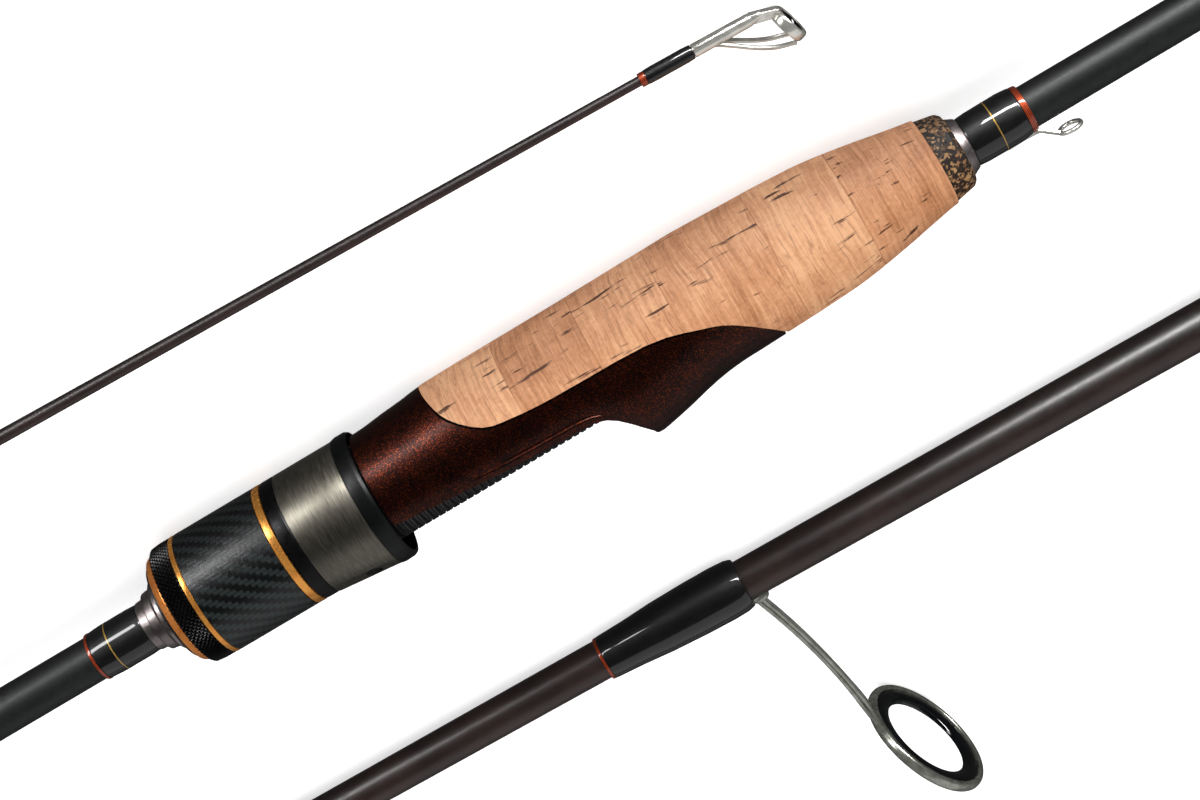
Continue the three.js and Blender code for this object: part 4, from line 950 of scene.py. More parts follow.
def eased_curve(points, steps):
    """Points along a smooth curve through the given ones."""
    ends = [points[0]] + list(points) + [points[-1]]
    curve = []
    for a, b, c, d in zip(ends, ends[1:], ends[2:], ends[3:]):
        for step in range(steps):
            t = step / steps
            curve.append(tuple(
                0.5 * (2 * q + (r - p) * t + (2 * p - 5 * q + 4 * r - s) * t ** 2
                       + (3 * q - p - 3 * r + s) * t ** 3)
                for p, q, r, s in zip(a, b, c, d)))
    return curve + [tuple(points[-1])]


def lofted(name, stations, steps=128):
    """A closed skin through (along, radius, depth) stations, as long as they run."""
    ends = [(stations[0][0], 0)] + [(x, radius) for x, radius, depth in stations] + [(stations[-1][0], 0)]
    piece = turned(name, ends, steps)
    depths = {round(x, 3): (radius, depth) for x, radius, depth in stations}
    for x, (radius, depth) in depths.items():
        if abs(depth - radius) > 0.001:
            deepen(piece, x, radius, depth)
    return piece


def beyond_cork_line(name, side):
    """All that lies on one side of the line where the body meets the cork."""
    line = []
    for x, z in eased_curve(CORK_LINE, 3):
        shift = side * GROOVE / 2 * min(1, max(0.2, (GROOVE_END - x) / GROOVE_FADE))
        line.append((SEAT_DATUM + x + shift, z + shift))
    if side > 0:
        outline = [(SEAT_DATUM - 10, -30), (SEAT_DATUM - 10, line[0][1])] + line + [(line[-1][0], -30)]
    else:
        outline = [(line[0][0], 30)] + line + [(line[-1][0] + 60, line[-1][1]), (line[-1][0] + 60, 30)]
    return slab(name, outline, 60)


def wire(name, points, radius, sides=8):
    """A round wire bent smoothly through points in millimetres, its ends closed."""
    bpy.ops.object.select_all(action="DESELECT")
    bpy.ops.curve.primitive_bezier_curve_add()
    bent = bpy.context.object
    bent.name = name
    spline = bent.data.splines[0]
    spline.bezier_points.add(len(points) - 2)
    for knot, point in zip(spline.bezier_points, points):
        knot.co = Vector(point) * MM
        knot.handle_left_type = knot.handle_right_type = "AUTO"
        knot.radius = 1
    bent.data.bevel_depth = radius * MM
    bent.data.bevel_resolution = sides // 4
    bent.data.use_fill_caps = True
    bent.data.resolution_u = 8
    bpy.ops.object.convert(target="MESH")
    return bpy.context.object


def joined(name, *parts):
    """Makes one mesh of several."""
    bpy.ops.object.select_all(action="DESELECT")
    for part in parts:
        part.select_set(True)
    bpy.context.view_layer.objects.active = parts[0]
    bpy.ops.object.join()
    whole = bpy.context.object
    whole.name = name
    return whole


root_beer, tree, shader = finish("root_beer_flake", coat_weight=0.12, coat_roughness=0.25)
place = put(tree, "TexCoord").outputs["Object"]
flakes = put(tree, "TexVoronoi", {"Vector": place, "Scale": 7500})
flake_tone = put(tree, "SeparateColor", {0: flakes.outputs["Color"]})
bright = reckon(tree, "POWER", flake_tone.outputs[0], 5.0)
haze = mottled(tree, place, 250, 0.0, 0.22)
flake_sum = reckon(tree, "ADD", bright, haze)
body_color = ramp(tree, flake_sum, (0.0, "#0d0301"), (0.35, "#2c0d05"), (1.0, "#7c3419"))
flake_lean = put(tree, "Bump", {"Height": flake_tone.outputs[1], "Strength": 0.15, "Distance": 0.03 * MM})
body_metal = put(tree, "MapRange", {"Value": flake_tone.outputs[0], "To Min": 0.85, "To Max": 1.0})
feed(tree, shader, base_color=body_color.outputs[0], metallic=body_metal.outputs[0],
     roughness=mottled(tree, place, 1200, 0.34, 0.44), normal=flake_lean.outputs[0])

body_stations = [(SEAT_DATUM + x, radius, depth) for x, radius, depth in eased_curve(BODY_SHAPE, 2)]
body_stations[0] = (SEAT_DATUM + HOOD_GAP, *BODY_SHAPE[0][1:])
seat_body = lofted("seat_body_lacquered", body_stations)
bore = turned("bore_cutter", [
    (SEAT_DATUM - 1, 0), (SEAT_DATUM - 1, NUT_BORE), (BARREL_CLEAR, NUT_BORE), (BARREL_CLEAR, BORE),
    (SEAT_DATUM + BODY_LENGTH + 1, BORE), (SEAT_DATUM + BODY_LENGTH + 1, 0)])
edge = [(SEAT_DATUM + x, z) for x, z in CHANNEL_EDGE]
channel = slab("channel_cutter", [(SEAT_DATUM - 1, edge[0][1])] + edge + [
    (edge[-1][0] + 1, -20), (SEAT_DATUM - 1, -20)], 60)
pocket = lofted("pocket_cutter", [(SEAT_DATUM + x, half, depth) for x, half, depth in POCKET])
carve(seat_body, bore, channel, pocket, beyond_cork_line("cork_side", -1))
eased(seat_body, 0.3, 3, 50)
section_at = {x: (radius, depth) for x, radius, depth in BODY_SHAPE}
beads = []
for side in (1, -1):
    line = []
    for x, height in BEAD:
        radius, depth = section_at[x]
        aside = radius * math.sqrt(1 - (height / depth) ** 2)
        aside += -BEAD_SUNK if x in (BEAD[0][0], BEAD[-1][0]) else BEAD_PROUD
        line.append((SEAT_DATUM + x, side * aside, height))
    beads.append(wire("channel_bead", line, BEAD_RADIUS, 16))
seat_body = joined("seat_body_lacquered", seat_body, *beads)
lay_down(seat_body, handle_frame, root_beer, 30)
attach(seat_body, "handle_section")
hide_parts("seat_body")


# ---------------------------------------------------------------------------------------------
# Front grip. Six natural cork rings glued in a row and turned to a long taper, let down over the
# seat body along its edge, with a ring of burl cork and a thin check at the front.

GRIP_START = 15.6
CORK_LENGTHS = [15.5, 16.1, 16, 20.4, 16.3, 16.9]
GRIP_SHAPE = [
    (15.6, 12.75), (24, 12.9), (44, 13), (58, 13.2), (69.4, 13.35), (78, 13.05), (85.6, 12.8),
    (90.1, 12.55), (94.2, 12.3), (98.3, 11.8), (102.6, 11.1), (106.6, 10.4), (110.6, 9.6),
    (114.9, 8.8), (119, 8.2)]
CORK_TONES = [0.62, 0.16, 0.44, 0.36, 0.58, 0.26]
GRIP_BORE = 4.46
BURL_LENGTH, BURL_REAR, BURL_FRONT = 4.8, 8.2, 7.0
CHECK_LENGTH, CHECK_REAR, CHECK_FRONT = 1.8, 5.86, 4.96


def grip_radius(x):
    """Radius of the front grip at a place along it, from the seat's datum."""
    for (x0, r0), (x1, r1) in zip(GRIP_SHAPE, GRIP_SHAPE[1:]):
        if x <= x1:
            return r0 + (r1 - r0) * (x - x0) / (x1 - x0)
    return GRIP_SHAPE[-1][1]


rear = GRIP_START
for number, (length, tone) in enumerate(zip(CORK_LENGTHS, CORK_TONES), 1):
    front = rear + length
    skin = [(SEAT_DATUM + rear + length * i / 10, grip_radius(rear + length * i / 10)) for i in range(11)]
    start, end = skin[0][0], skin[-1][0]
    step = BARREL_CLEAR
    if end < step:
        bore_line = [(end, NUT_BORE), (start, NUT_BORE)]
    elif start > step:
        bore_line = [(end, GRIP_BORE), (start, GRIP_BORE)]
    else:
        bore_line = [(end, GRIP_BORE), (step, GRIP_BORE), (step, NUT_BORE), (start, NUT_BORE)]
    cork_ring = turned(f"front_cork_{number}", rounded(skin + bore_line, 0.16), 128)
    if rear < CORK_LINE[-1][0]:
        carve(cork_ring, beyond_cork_line("body_side", 1))
    toned_cork(cork_ring, tone)
    lay_down(cork_ring, handle_frame, cork)
    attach(cork_ring, "handle_section")
    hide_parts(f"cork_ring_{number}")
    rear = front

burl_start = SEAT_DATUM + rear
front_burl = turned("front_burl", rounded([
    (burl_start, GRIP_BORE), (burl_start, BURL_REAR), (burl_start + BURL_LENGTH - 0.8, BURL_FRONT + 0.4),
    (burl_start + BURL_LENGTH, BURL_FRONT - 0.4), (burl_start + BURL_LENGTH, GRIP_BORE)], 0.25))
lay_down(front_burl, handle_frame, burl)
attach(front_burl, "handle_section")
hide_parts("front_burl_ring")

check_start = burl_start + BURL_LENGTH
front_check = turned("front_check_ring", rounded([
    (check_start, GRIP_BORE), (check_start, CHECK_REAR), (check_start + CHECK_LENGTH, CHECK_FRONT),
    (check_start + CHECK_LENGTH, GRIP_BORE)], 0.2))
lay_down(front_check, handle_frame, gunmetal)
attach(front_check, "handle_section")
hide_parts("front_check")


# ---------------------------------------------------------------------------------------------
# Front binding and hook keeper. The keeper is a small wire eye; its two feet lie on the blank
# under the binding's thread and epoxy, which ends in a copper band and carries a gold thread.

FRONT_BINDING_LENGTH = 11
FRONT_WRAP = 0.7
GOLD_AHEAD = 5.6
KEEPER_WIRE = 0.42
KEEPER_EYE = 2.1
KEEPER_REACH = 2.75
KEEPER_FORWARD = 6.2
KEEPER_FOOT = 5
KEEPER_TILT = math.radians(20)

binding_start = check_start + CHECK_LENGTH
binding_end = binding_start + FRONT_BINDING_LENGTH
under = blank_radius(binding_start) + 0.1
front_wrap = turned("front_binding_wrap", rounded([
    (binding_start + SILL, under), (binding_start + SILL, under + FRONT_WRAP - 0.1),
    (binding_start + 2, under + FRONT_WRAP + 0.05), (binding_end - 2.4, under + FRONT_WRAP + 0.12),
    (binding_end, under + FRONT_WRAP - 0.1), (binding_end, under)], 0.3))
lay_down(front_wrap, handle_frame, black_wrap)
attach(front_wrap, "handle_section")
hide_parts("front_binding")

gold_at = binding_start + GOLD_AHEAD
front_gold = turned("front_gold_thread", rounded([
    (gold_at, under + 0.3), (gold_at, under + FRONT_WRAP + 0.13),
    (gold_at + GOLD_WIDTH, under + FRONT_WRAP + 0.13), (gold_at + GOLD_WIDTH, under + 0.3)], 0.05))
lay_down(front_gold, handle_frame, gold_wrap)
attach(front_gold, "handle_section")

front_trim = turned("front_copper_band", rounded([
    (binding_end + SILL, under), (binding_end + SILL, under + FRONT_WRAP - 0.12),
    (binding_end + 2 * BAND_WIDTH, under + FRONT_WRAP - 0.3), (binding_end + 2 * BAND_WIDTH, under)], 0.2))
lay_down(front_trim, handle_frame, copper_wrap)
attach(front_trim, "handle_section")
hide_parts("front_trim_band")


def metal(name, dark, light, rough):
    """Bare polished metal with faint drawing marks and smudges."""
    material, tree, shader = finish(name, metallic=0.7)
    place = put(tree, "TexCoord").outputs["Object"]
    smudge = mottled(tree, place, 500, 0.0, 1.0)
    drawn_lines = put(tree, "TexNoise", {"Vector": place, "Scale": 3500, "Detail": 3})
    bump = put(tree, "Bump", {"Height": drawn_lines.outputs[0], "Strength": 0.1, "Distance": 0.01 * MM})
    feed(tree, shader, base_color=ramp(tree, smudge, (0, dark), (1, light)).outputs[0],
         roughness=mottled(tree, place, 900, *rough), normal=bump.outputs[0])
    return material


polished = metal("polished_steel", "#c2c0b8", "#e8e6de", (0.14, 0.26))
foot_line = -(blank_radius(binding_start) + 0.15)
eye_along = binding_end + KEEPER_FORWARD
eye_height = foot_line - KEEPER_REACH
bpy.ops.object.select_all(action="DESELECT")
bpy.ops.mesh.primitive_torus_add(
    major_radius=KEEPER_EYE * MM, minor_radius=KEEPER_WIRE * MM, major_segments=48, minor_segments=16,
    location=(eye_along * MM, 0, eye_height * MM), rotation=(KEEPER_TILT, 0, 0))
bpy.ops.object.transform_apply(location=True, rotation=True, scale=True)
eye = bpy.context.object
stems = [wire("stem", [
    (binding_end - KEEPER_FOOT, side * KEEPER_WIRE * 1.1, foot_line - KEEPER_WIRE),
    (binding_end, side * KEEPER_WIRE * 1.1, foot_line - KEEPER_WIRE),
    (binding_end + 1.4, side * KEEPER_WIRE * 1.1, foot_line - KEEPER_WIRE - 0.25),
    (binding_end + 2.6, side * KEEPER_WIRE * 1.1, (foot_line + eye_height) / 2 - 0.2),
    (eye_along - KEEPER_EYE, side * KEEPER_WIRE * 0.9, eye_height)], KEEPER_WIRE) for side in (1, -1)]
keeper = joined("hook_keeper_eye", eye, *stems)
lay_down(keeper, handle_frame, polished)
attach(keeper, "handle_section")
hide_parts("hook_keeper")


# ---------------------------------------------------------------------------------------------
# Middle section. A tapered carbon tube in a brown satin lacquer, with a spigot for the tip at one
# end and a flush socket for the handle's spigot at the other, bound with thread against splitting.

MIDDLE_YAW = math.radians(-1.34)
SLEEVE_MID = 276  # along the middle section, halfway down its sleeve
MIDDLE_SPIGOT = (-60, -24)
MIDDLE_SPIGOT_RADIUS = 3.1
MIDDLE_TIP_RADIUS = 3.7
MIDDLE_BUTT_RADIUS = 4.9
MIDDLE_SLEEVE = (252, 262, 300)  # along: front, end of the glued neck, open end
MIDDLE_SOCKET = 3.95
MIDDLE_BINDING = (287, 299)
THREAD_HEIGHT = 0.35


def section_frame(sleeve, along, aside, yaw, ring):
    """Where a section lies on the floor. Its roll is the one that its largest guide gives it."""
    low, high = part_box(sleeve)
    place = (low + high) / 2
    origin = place - Vector((along * MM * math.cos(yaw), aside * MM * math.sin(yaw), 0))
    low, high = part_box(ring)
    out = (low + high) / 2 - origin
    roll = math.atan2(out.z, out.x * math.sin(yaw) - out.y * math.cos(yaw))
    return (Matrix.Translation(origin) @ Matrix.Rotation(yaw, 4, "Z")
            @ Matrix.Rotation(-math.pi / 2 - roll, 4, "X"))


def middle_radius(x):
    """Radius of the middle section's blank at a place along it."""
    share = (x - MIDDLE_SPIGOT[1]) / (MIDDLE_SLEEVE[1] - MIDDLE_SPIGOT[1])
    return MIDDLE_TIP_RADIUS + (MIDDLE_BUTT_RADIUS - MIDDLE_TIP_RADIUS) * share


middle_frame = section_frame("middle_ferrule_sleeve", SLEEVE_MID, SLEEVE_MID, MIDDLE_YAW, "guide_1_ring")

lacquer, tree, shader = finish("brown_satin_lacquer", specular_ior_level=0.45, coat_weight=0.25,
                               coat_roughness=0.3)
place = put(tree, "TexCoord").outputs["Object"]
fine = put(tree, "TexNoise", {"Vector": place, "Scale": 5000, "Detail": 2})
tint = reckon(tree, "ADD", mottled(tree, place, 120, 0.0, 0.7),
    reckon(tree, "MULTIPLY", fine.outputs[0], 0.3))
brown = ramp(tree, tint, (0.0, "#180d0b"), (1.0, "#281815"))
orange_peel = put(tree, "Bump", {"Height": put(tree, "TexNoise", {"Vector": place, "Scale": 900}).outputs[0],
                                 "Strength": 0.1, "Distance": 0.02 * MM})
feed(tree, shader, base_color=brown.outputs[0], roughness=mottled(tree, place, 700, 0.34, 0.46),
     normal=orange_peel.outputs[0])

middle_blank = turned("middle_blank_tube", rounded([
    (MIDDLE_SPIGOT[0], 0), (MIDDLE_SPIGOT[0], MIDDLE_SPIGOT_RADIUS - 0.6),
    (MIDDLE_SPIGOT[0] + 1, MIDDLE_SPIGOT_RADIUS), (MIDDLE_SPIGOT[1], MIDDLE_SPIGOT_RADIUS),
    (MIDDLE_SPIGOT[1], MIDDLE_TIP_RADIUS), (MIDDLE_SLEEVE[0] - 0.1, middle_radius(MIDDLE_SLEEVE[0])),
    (MIDDLE_SLEEVE[0] - 0.1, MIDDLE_SOCKET - 0.15), (MIDDLE_SLEEVE[1], MIDDLE_SOCKET - 0.15),
    (MIDDLE_SLEEVE[1], 0)], 0.2))
lay_down(middle_blank, middle_frame, lacquer)
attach(middle_blank, "middle_section")
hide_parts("middle_blank")

front, neck, mouth = MIDDLE_SLEEVE
middle_sleeve = turned("middle_socket_sleeve", rounded([
    (mouth, MIDDLE_SOCKET), (neck, MIDDLE_SOCKET), (neck, MIDDLE_SOCKET + 0.15),
    (front, MIDDLE_SOCKET + 0.15), (front, MIDDLE_BUTT_RADIUS), (mouth, MIDDLE_BUTT_RADIUS)], 0.2))
lay_down(middle_sleeve, middle_frame, lacquer)
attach(middle_sleeve, "middle_section")
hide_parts("middle_ferrule_sleeve")


def binding_outline(start, end, bore, height=THREAD_HEIGHT):
    """The outline of thread and epoxy that swells a little between its ends."""
    return rounded([
        (start, bore), (start, bore + height - 0.1), (start + 1.5, bore + height),
        (end - 1.5, bore + height), (end, bore + height - 0.1), (end, bore)], 0.3)


middle_ferrule = turned("middle_ferrule_wrap", binding_outline(*MIDDLE_BINDING, MIDDLE_BUTT_RADIUS + 0.12))
lay_down(middle_ferrule, middle_frame, black_wrap)
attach(middle_ferrule, "middle_section")
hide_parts("middle_ferrule_binding")


# ---------------------------------------------------------------------------------------------
# Tip section. The same lacquered carbon, far thinner, with a socket sleeve that tapers into it and
# is bound with thread at its mouth.

TIP_YAW = math.radians(-2.22)
TIP_SLEEVE_MID, TIP_SLEEVE_ASIDE = -149, -154  # along: the sleeve's middle, and what its turn aside goes by
TIP_BLANK = (-134.7, 172)
TIP_TAPER_START = -173
TIP_RADII = (1.72, 0.87)
TIP_SLEEVE = (-173, -135, -125)  # along: open end, shoulder, end of the taper
TIP_SLEEVE_RADII = (4.16, 2.6)
TIP_SOCKET = 3.4
TIP_FERRULE = (-172, -160)


def tip_radius(x):
    """Radius of the tip's blank at a place along it."""
    share = (x - TIP_TAPER_START) / (TIP_BLANK[1] - TIP_TAPER_START)
    return TIP_RADII[0] + (TIP_RADII[1] - TIP_RADII[0]) * share


tip_frame = section_frame("tip_ferrule_sleeve", TIP_SLEEVE_MID, TIP_SLEEVE_ASIDE, TIP_YAW, "guide_3_ring")
tip_blank = turned("tip_blank_tube", [
    (TIP_BLANK[0], 0), (TIP_BLANK[0], TIP_RADII[0]), (TIP_BLANK[1], TIP_RADII[1]), (TIP_BLANK[1], 0)], 48)
lay_down(tip_blank, tip_frame, lacquer)
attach(tip_blank, "tip_section")
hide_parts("tip_blank")

mouth, shoulder, end = TIP_SLEEVE
tip_sleeve = turned("tip_socket_sleeve", rounded([
    (mouth, TIP_SOCKET), (shoulder, TIP_SOCKET), (shoulder, TIP_RADII[0] + 0.15), (end, TIP_RADII[0] + 0.15),
    (end, TIP_SLEEVE_RADII[1]), (shoulder, TIP_SLEEVE_RADII[0]), (mouth, TIP_SLEEVE_RADII[0])], 0.2))
lay_down(tip_sleeve, tip_frame, lacquer)
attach(tip_sleeve, "tip_section")
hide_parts("tip_ferrule_sleeve")

tip_ferrule = turned("tip_ferrule_wrap", binding_outline(*TIP_FERRULE, TIP_SLEEVE_RADII[0] + 0.12))
lay_down(tip_ferrule, tip_frame, black_wrap)
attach(tip_ferrule, "tip_section")
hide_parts("tip_ferrule_binding")


# ---------------------------------------------------------------------------------------------
# Guides. Each is a stamped metal frame: a foot under thread and epoxy, a leg of two ridges with a
# web between, and a hoop that holds a polished black ceramic ring. They shrink towards the tip.

FOOT_GLUE = 0.15
LEG = [  # share of its length, and how wide and how deep it is there
    (0, 1, 1), (0.2, 1, 0.95), (0.4, 1, 0.9), (0.6, 1, 0.9), (0.78, 1.15, 1), (0.9, 1.7, 1.1), (1, 3.4, 0.5)]
LEAST_TRIMMED = 6  # hoops smaller than this have no copper band
RIDGE_SHARE, WEB_SHARE = 0.72, 1.6  # a ridge's radius and the web's thickness, over "thick"
GUIDES = [
    # x: where the leg leaves the binding; standoff: from the blank's axis to the ring's centre
    {"name": "guide_1", "x": 125.5, "standoff": 59.6, "ring": 14.9, "hole": 9.9, "wall": 3.4,
     "band": 2.4, "footing": 29, "leg_lean": 14, "ring_lean": 30, "ring_turn": 6, "rail": 0.95,
     "gap": 0.9, "thick": 0.6, "bow": 1.2, "turns": 33},
    {"name": "guide_2", "x": -15, "standoff": 27, "ring": 9, "hole": 5.8, "wall": 1.9,
     "band": 1.8, "footing": 18, "leg_lean": 18, "ring_lean": 28, "ring_turn": 4, "rail": 0.8,
     "gap": 0.6, "thick": 0.5, "bow": 0.6, "turns": 21},
    {"name": "guide_3", "x": -95, "standoff": 13, "ring": 5, "hole": 3.1, "wall": 0.9,
     "band": 1.3, "footing": 10, "leg_lean": 25, "ring_lean": 20, "ring_turn": 0, "rail": 0.6,
     "gap": 0.3, "thick": 0.4, "bow": 0, "turns": 13},
    {"name": "guide_4", "x": 5, "standoff": 9.5, "ring": 4, "hole": 2.3, "wall": 0.8,
     "band": 1.2, "footing": 8, "leg_lean": 25, "ring_lean": 20, "ring_turn": 0, "rail": 0.5,
     "gap": 0.3, "thick": 0.4, "bow": 0, "turns": 11}]

guide_metal = metal("guide_gunmetal", "#7d7e76", "#a5a69d", (0.16, 0.28))

ceramic, tree, shader = finish("black_ceramic", specular_ior_level=0.6)
place = put(tree, "TexCoord").outputs["Object"]
glaze = ramp(tree, mottled(tree, place, 400, 0.0, 1.0), (0, "#040506"), (1, "#0b0d0f"))
feed(tree, shader, base_color=glaze.outputs[0], roughness=mottled(tree, place, 600, 0.04, 0.09))


def drop_of(x, start, end, blank):
    """How far the epoxy sags to the reel side over the foot."""
    share = (x - start) / (end - start)
    return (0.1 + 0.25 * share) * math.sqrt(blank / 4.3)


def sagged(piece, start, end, blank):
    """Lets a turned piece down over the foot."""
    for vertex in piece.data.vertices:
        vertex.co.z -= drop_of(vertex.co.x / MM, start, end, blank) * MM


def make_guide(guide, section, body, radius_at):
    """One guide with its foot bound to the blank of a section."""
    name, x, ring = guide["name"], guide["x"], guide["ring"]
    standoff, half = guide["standoff"], guide["band"] / 2
    rail, gap, thick, bow = guide["rail"], guide["gap"], guide["thick"], guide["bow"]
    lean, ring_lean = math.radians(guide["leg_lean"]), math.radians(guide["ring_lean"])
    seat = -(max(radius_at(x), radius_at(x - guide["footing"])) + FOOT_GLUE)
    centre = Vector((x + standoff * math.tan(lean), 0, -standoff))
    set_up = (Matrix.Translation(centre * MM) @ Matrix.Rotation(-ring_lean, 4, "Y")
              @ Matrix.Rotation(-math.radians(guide["ring_turn"]), 4, "Z"))

    insert = guide["hole"] + guide["wall"]
    hoop = turned("hoop", rounded([
        (-half, insert + 0.05), (-half, ring - 0.5), (-half * 0.4, ring), (half * 0.4, ring),
        (half, ring - 0.5),
        (half, insert + 0.05)], 0.35))
    hoop.data.transform(set_up)

    grip = ring - half / 2
    rim = centre + Vector((-math.sin(ring_lean), 0, math.cos(ring_lean))) * grip
    root = Vector((x - 0.4, 0, seat - thick / 2))
    run = rim - root
    square = Vector((-run.z, 0, run.x)).normalized()
    line = [root + run * share + square * bow * 4 * share * (1 - share) for share, wide, deep in LEG]
    inward = run.normalized() * thick * 0.6
    ridges = []
    for side in (1, -1):
        off = Vector((0, side * (gap + rail) / 2, 0))
        for edge in (1, -1):
            bend = [point + off * wide + square * edge * thick * 0.75 * deep
                    for point, (share, wide, deep) in zip(line, LEG)]
            bend[-1] = bend[-1] + inward
            ridges.append(wire("ridge", bend, thick * RIDGE_SHARE, 12))
    web = drawn("web", [point + Vector((0, -(gap + rail) / 2, 0)) for point in line])
    bpy.ops.mesh.extrude_region_move(TRANSFORM_OT_translate={"value": (0, (gap + rail) * MM, 0)})
    bpy.ops.object.mode_set(mode="OBJECT")
    stiff = web.modifiers.new("stiff", "SOLIDIFY")
    stiff.thickness = thick * WEB_SHARE * MM
    stiff.offset = 0
    bpy.ops.object.modifier_apply(modifier=stiff.name)
    bpy.ops.object.select_all(action="DESELECT")
    bpy.ops.mesh.primitive_uv_sphere_add(
        segments=24, ring_count=16, radius=MM, location=((x + 0.2) * MM, 0, (seat - thick * 1.5) * MM),
        scale=(thick * 3.4, rail + gap * 0.7, thick * 2.3))
    bpy.ops.object.transform_apply(location=True, rotation=True, scale=True)
    heel = bpy.context.object

    foot = slab("foot", [
        (x - guide["footing"], seat), (x, seat), (x, seat - thick), (x - guide["footing"], seat - 0.15)],
        2 * rail + gap)
    frame_piece = joined(f"{name}_stamped_frame", hoop, *ridges, web, heel, foot)
    lay_down(frame_piece, section, guide_metal)
    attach(frame_piece, body)
    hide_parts(f"{name}_frame")

    middle = (insert + guide["hole"]) / 2
    insert_ring = turned(f"{name}_ceramic", rounded([
        (-half * 0.6, insert), (-half * 0.9, middle), (-half * 0.4, guide["hole"]),
        (half * 0.4, guide["hole"]), (half * 0.9, middle), (half * 0.6, insert)], 0.9), 128)
    insert_ring.data.transform(set_up)
    lay_down(insert_ring, section, ceramic, 60)
    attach(insert_ring, body)
    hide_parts(f"{name}_ring")

    blank = radius_at(x)
    start, end = x - guide["turns"], x - 1.2
    wide = math.hypot(seat - thick, rail + gap / 2)
    rear = radius_at(start) + drop_of(start, start, x, blank) + 0.08
    swell = end - start
    wrap = turned(f"{name}_wrap", rounded([
        (start, rear), (start, rear + 0.3), (start + 0.08 * swell, rear + 0.42),
        (start + 0.2 * swell, rear + 0.6), (start + 0.4 * swell, wide + 0.2),
        (start + 0.65 * swell, wide + 0.52), (start + 0.85 * swell, wide + 0.6),
        (start + 0.95 * swell, wide + 0.45), (end - 0.1, wide + 0.05), (end, wide - 0.3), (end, rear)], 0.9))
    sagged(wrap, start, x, blank)
    lay_down(wrap, section, black_wrap)
    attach(wrap, body)
    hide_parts(f"{name}_binding")

    if ring < LEAST_TRIMMED:
        return
    band = turned(f"{name}_copper_band", rounded([
        (start - 0.7, rear), (start - 0.7, rear + 0.2),
        (start - 0.02, rear + 0.3), (start - 0.02, rear)], 0.15))
    sagged(band, start, x, blank)
    lay_down(band, section, copper_wrap)
    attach(band, body)
    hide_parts(f"{name}_trim")


for guide in GUIDES[:2]:
    make_guide(guide, middle_frame, "middle_section", middle_radius)
for guide in GUIDES[2:]:
    make_guide(guide, tip_frame, "tip_section", tip_radius)


# ---------------------------------------------------------------------------------------------
# Tip-top. A chromed tube glued over the end of the blank and bound on, with a saddle and two bent
# wires that hold the last hoop and its ceramic ring ahead of the tip.

TUBE = (168.5, 181.8)
TUBE_RADII = (1.27, 1.2)
BINDING_START = 159.2
BINDING_RADIUS = 1.4
TOP_RING, TOP_HOLE, TOP_BAND, TOP_TILT = 3.65, 1.9, 2.2, math.radians(22)
TOP_CENTRE = (185.3, -4.56)  # along, height
TOP_WIRE = 0.45
SADDLE_WIDTH = 1.5

tip_bore = tip_radius(BINDING_START) + 0.12
tip_trim = turned("tip_copper_band", rounded([
    (BINDING_START - 2 * BAND_WIDTH, tip_bore), (BINDING_START - 2 * BAND_WIDTH, BINDING_RADIUS - 0.12),
    (BINDING_START - 0.02, BINDING_RADIUS - 0.08), (BINDING_START - 0.02, tip_bore)], 0.1), 64)
lay_down(tip_trim, tip_frame, copper_wrap)
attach(tip_trim, "tip_section")
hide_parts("tip_trim")

tip_binding = turned("tip_top_wrap", rounded([
    (BINDING_START, tip_bore), (BINDING_START, BINDING_RADIUS - 0.05), (BINDING_START + 1.5, BINDING_RADIUS),
    (TUBE[0] - 1.5, BINDING_RADIUS), (TUBE[0] - 0.1, BINDING_RADIUS - 0.1),
    (TUBE[0] - 0.1, tip_bore)], 0.15), 64)
lay_down(tip_binding, tip_frame, black_wrap)
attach(tip_binding, "tip_section")
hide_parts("tip_binding")

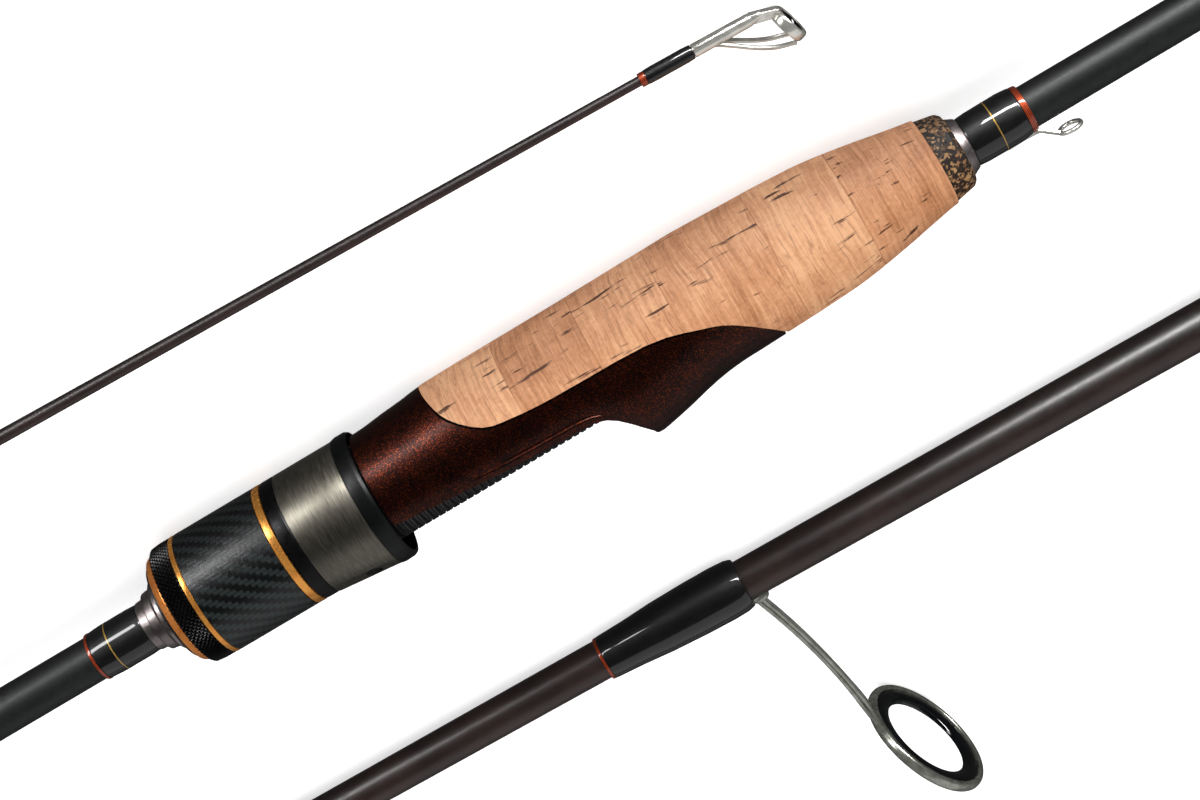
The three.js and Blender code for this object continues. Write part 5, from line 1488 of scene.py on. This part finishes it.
socket_end = TIP_BLANK[1] + 0.3
tube = turned("tube", rounded([
    (TUBE[0], tip_bore), (socket_end, tip_bore), (socket_end, 0), (TUBE[1], 0),
    (TUBE[1], TUBE_RADII[1] - 0.5),
    (TUBE[1] - 2.5, TUBE_RADII[1]), (TUBE[0], TUBE_RADII[0])], 0.12), 64)
half = TOP_BAND / 2
along, height = TOP_CENTRE
hoop_place = (Matrix.Translation(Vector((along, 0, height)) * MM) @ Matrix.Rotation(-TOP_TILT, 4, "Y"))
hoop = turned("hoop", rounded([
    (-half, TOP_HOLE + 1.0), (-half, TOP_RING - 0.25), (-half * 0.5, TOP_RING), (half * 0.5, TOP_RING),
    (half, TOP_RING - 0.25), (half, TOP_HOLE + 1.0)], 0.2), 96)
hoop.data.transform(hoop_place)
lean, rise = math.sin(TOP_TILT), math.cos(TOP_TILT)
hoop_front = (along - TOP_RING * lean + half * rise, height + TOP_RING * rise + half * lean)
hoop_back = (hoop_front[0] - TOP_BAND * rise, hoop_front[1] - TOP_BAND * lean)
saddle = slab("saddle", [
    (TUBE[1] - 2, TUBE_RADII[1] - 0.1), (hoop_front[0] - 1.0, hoop_front[1] + 0.62),
    (hoop_front[0], hoop_front[1] + 0.2), (hoop_front[0], hoop_front[1] - 0.15),
    (hoop_back[0], hoop_back[1] - 0.15), (TUBE[1] - 2, -TUBE_RADII[1] + 0.3)], SADDLE_WIDTH)
eased(saddle, 0.25, 4, 20)
wires = [wire("brace", [
    (TUBE[0] + 3.6, side * 0.3, -0.65), (TUBE[0] + 5.1, side * 0.7, -1.45),
    (along - 4.5, side * 1.6, height - TOP_RING * 0.45), (along - 0.2, side * 1.7, height - TOP_RING * 0.86)],
    TOP_WIRE, 12) for side in (1, -1)]
tip_top = joined("tip_top_chromed", tube, hoop, saddle, *wires)
lay_down(tip_top, tip_frame, polished)
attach(tip_top, "tip_section")
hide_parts("tip_top_frame")

insert = TOP_HOLE + 0.9
top_ring = turned("tip_top_ceramic", rounded([
    (-half * 0.7, insert), (-half * 0.9, insert - 0.4), (-half * 0.4, TOP_HOLE), (half * 0.4, TOP_HOLE),
    (half * 0.9, insert - 0.4), (half * 0.7, insert)], 0.4), 96)
top_ring.data.transform(hoop_place)
lay_down(top_ring, tip_frame, ceramic, 60)
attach(top_ring, "tip_section")
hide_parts("tip_top_ring")
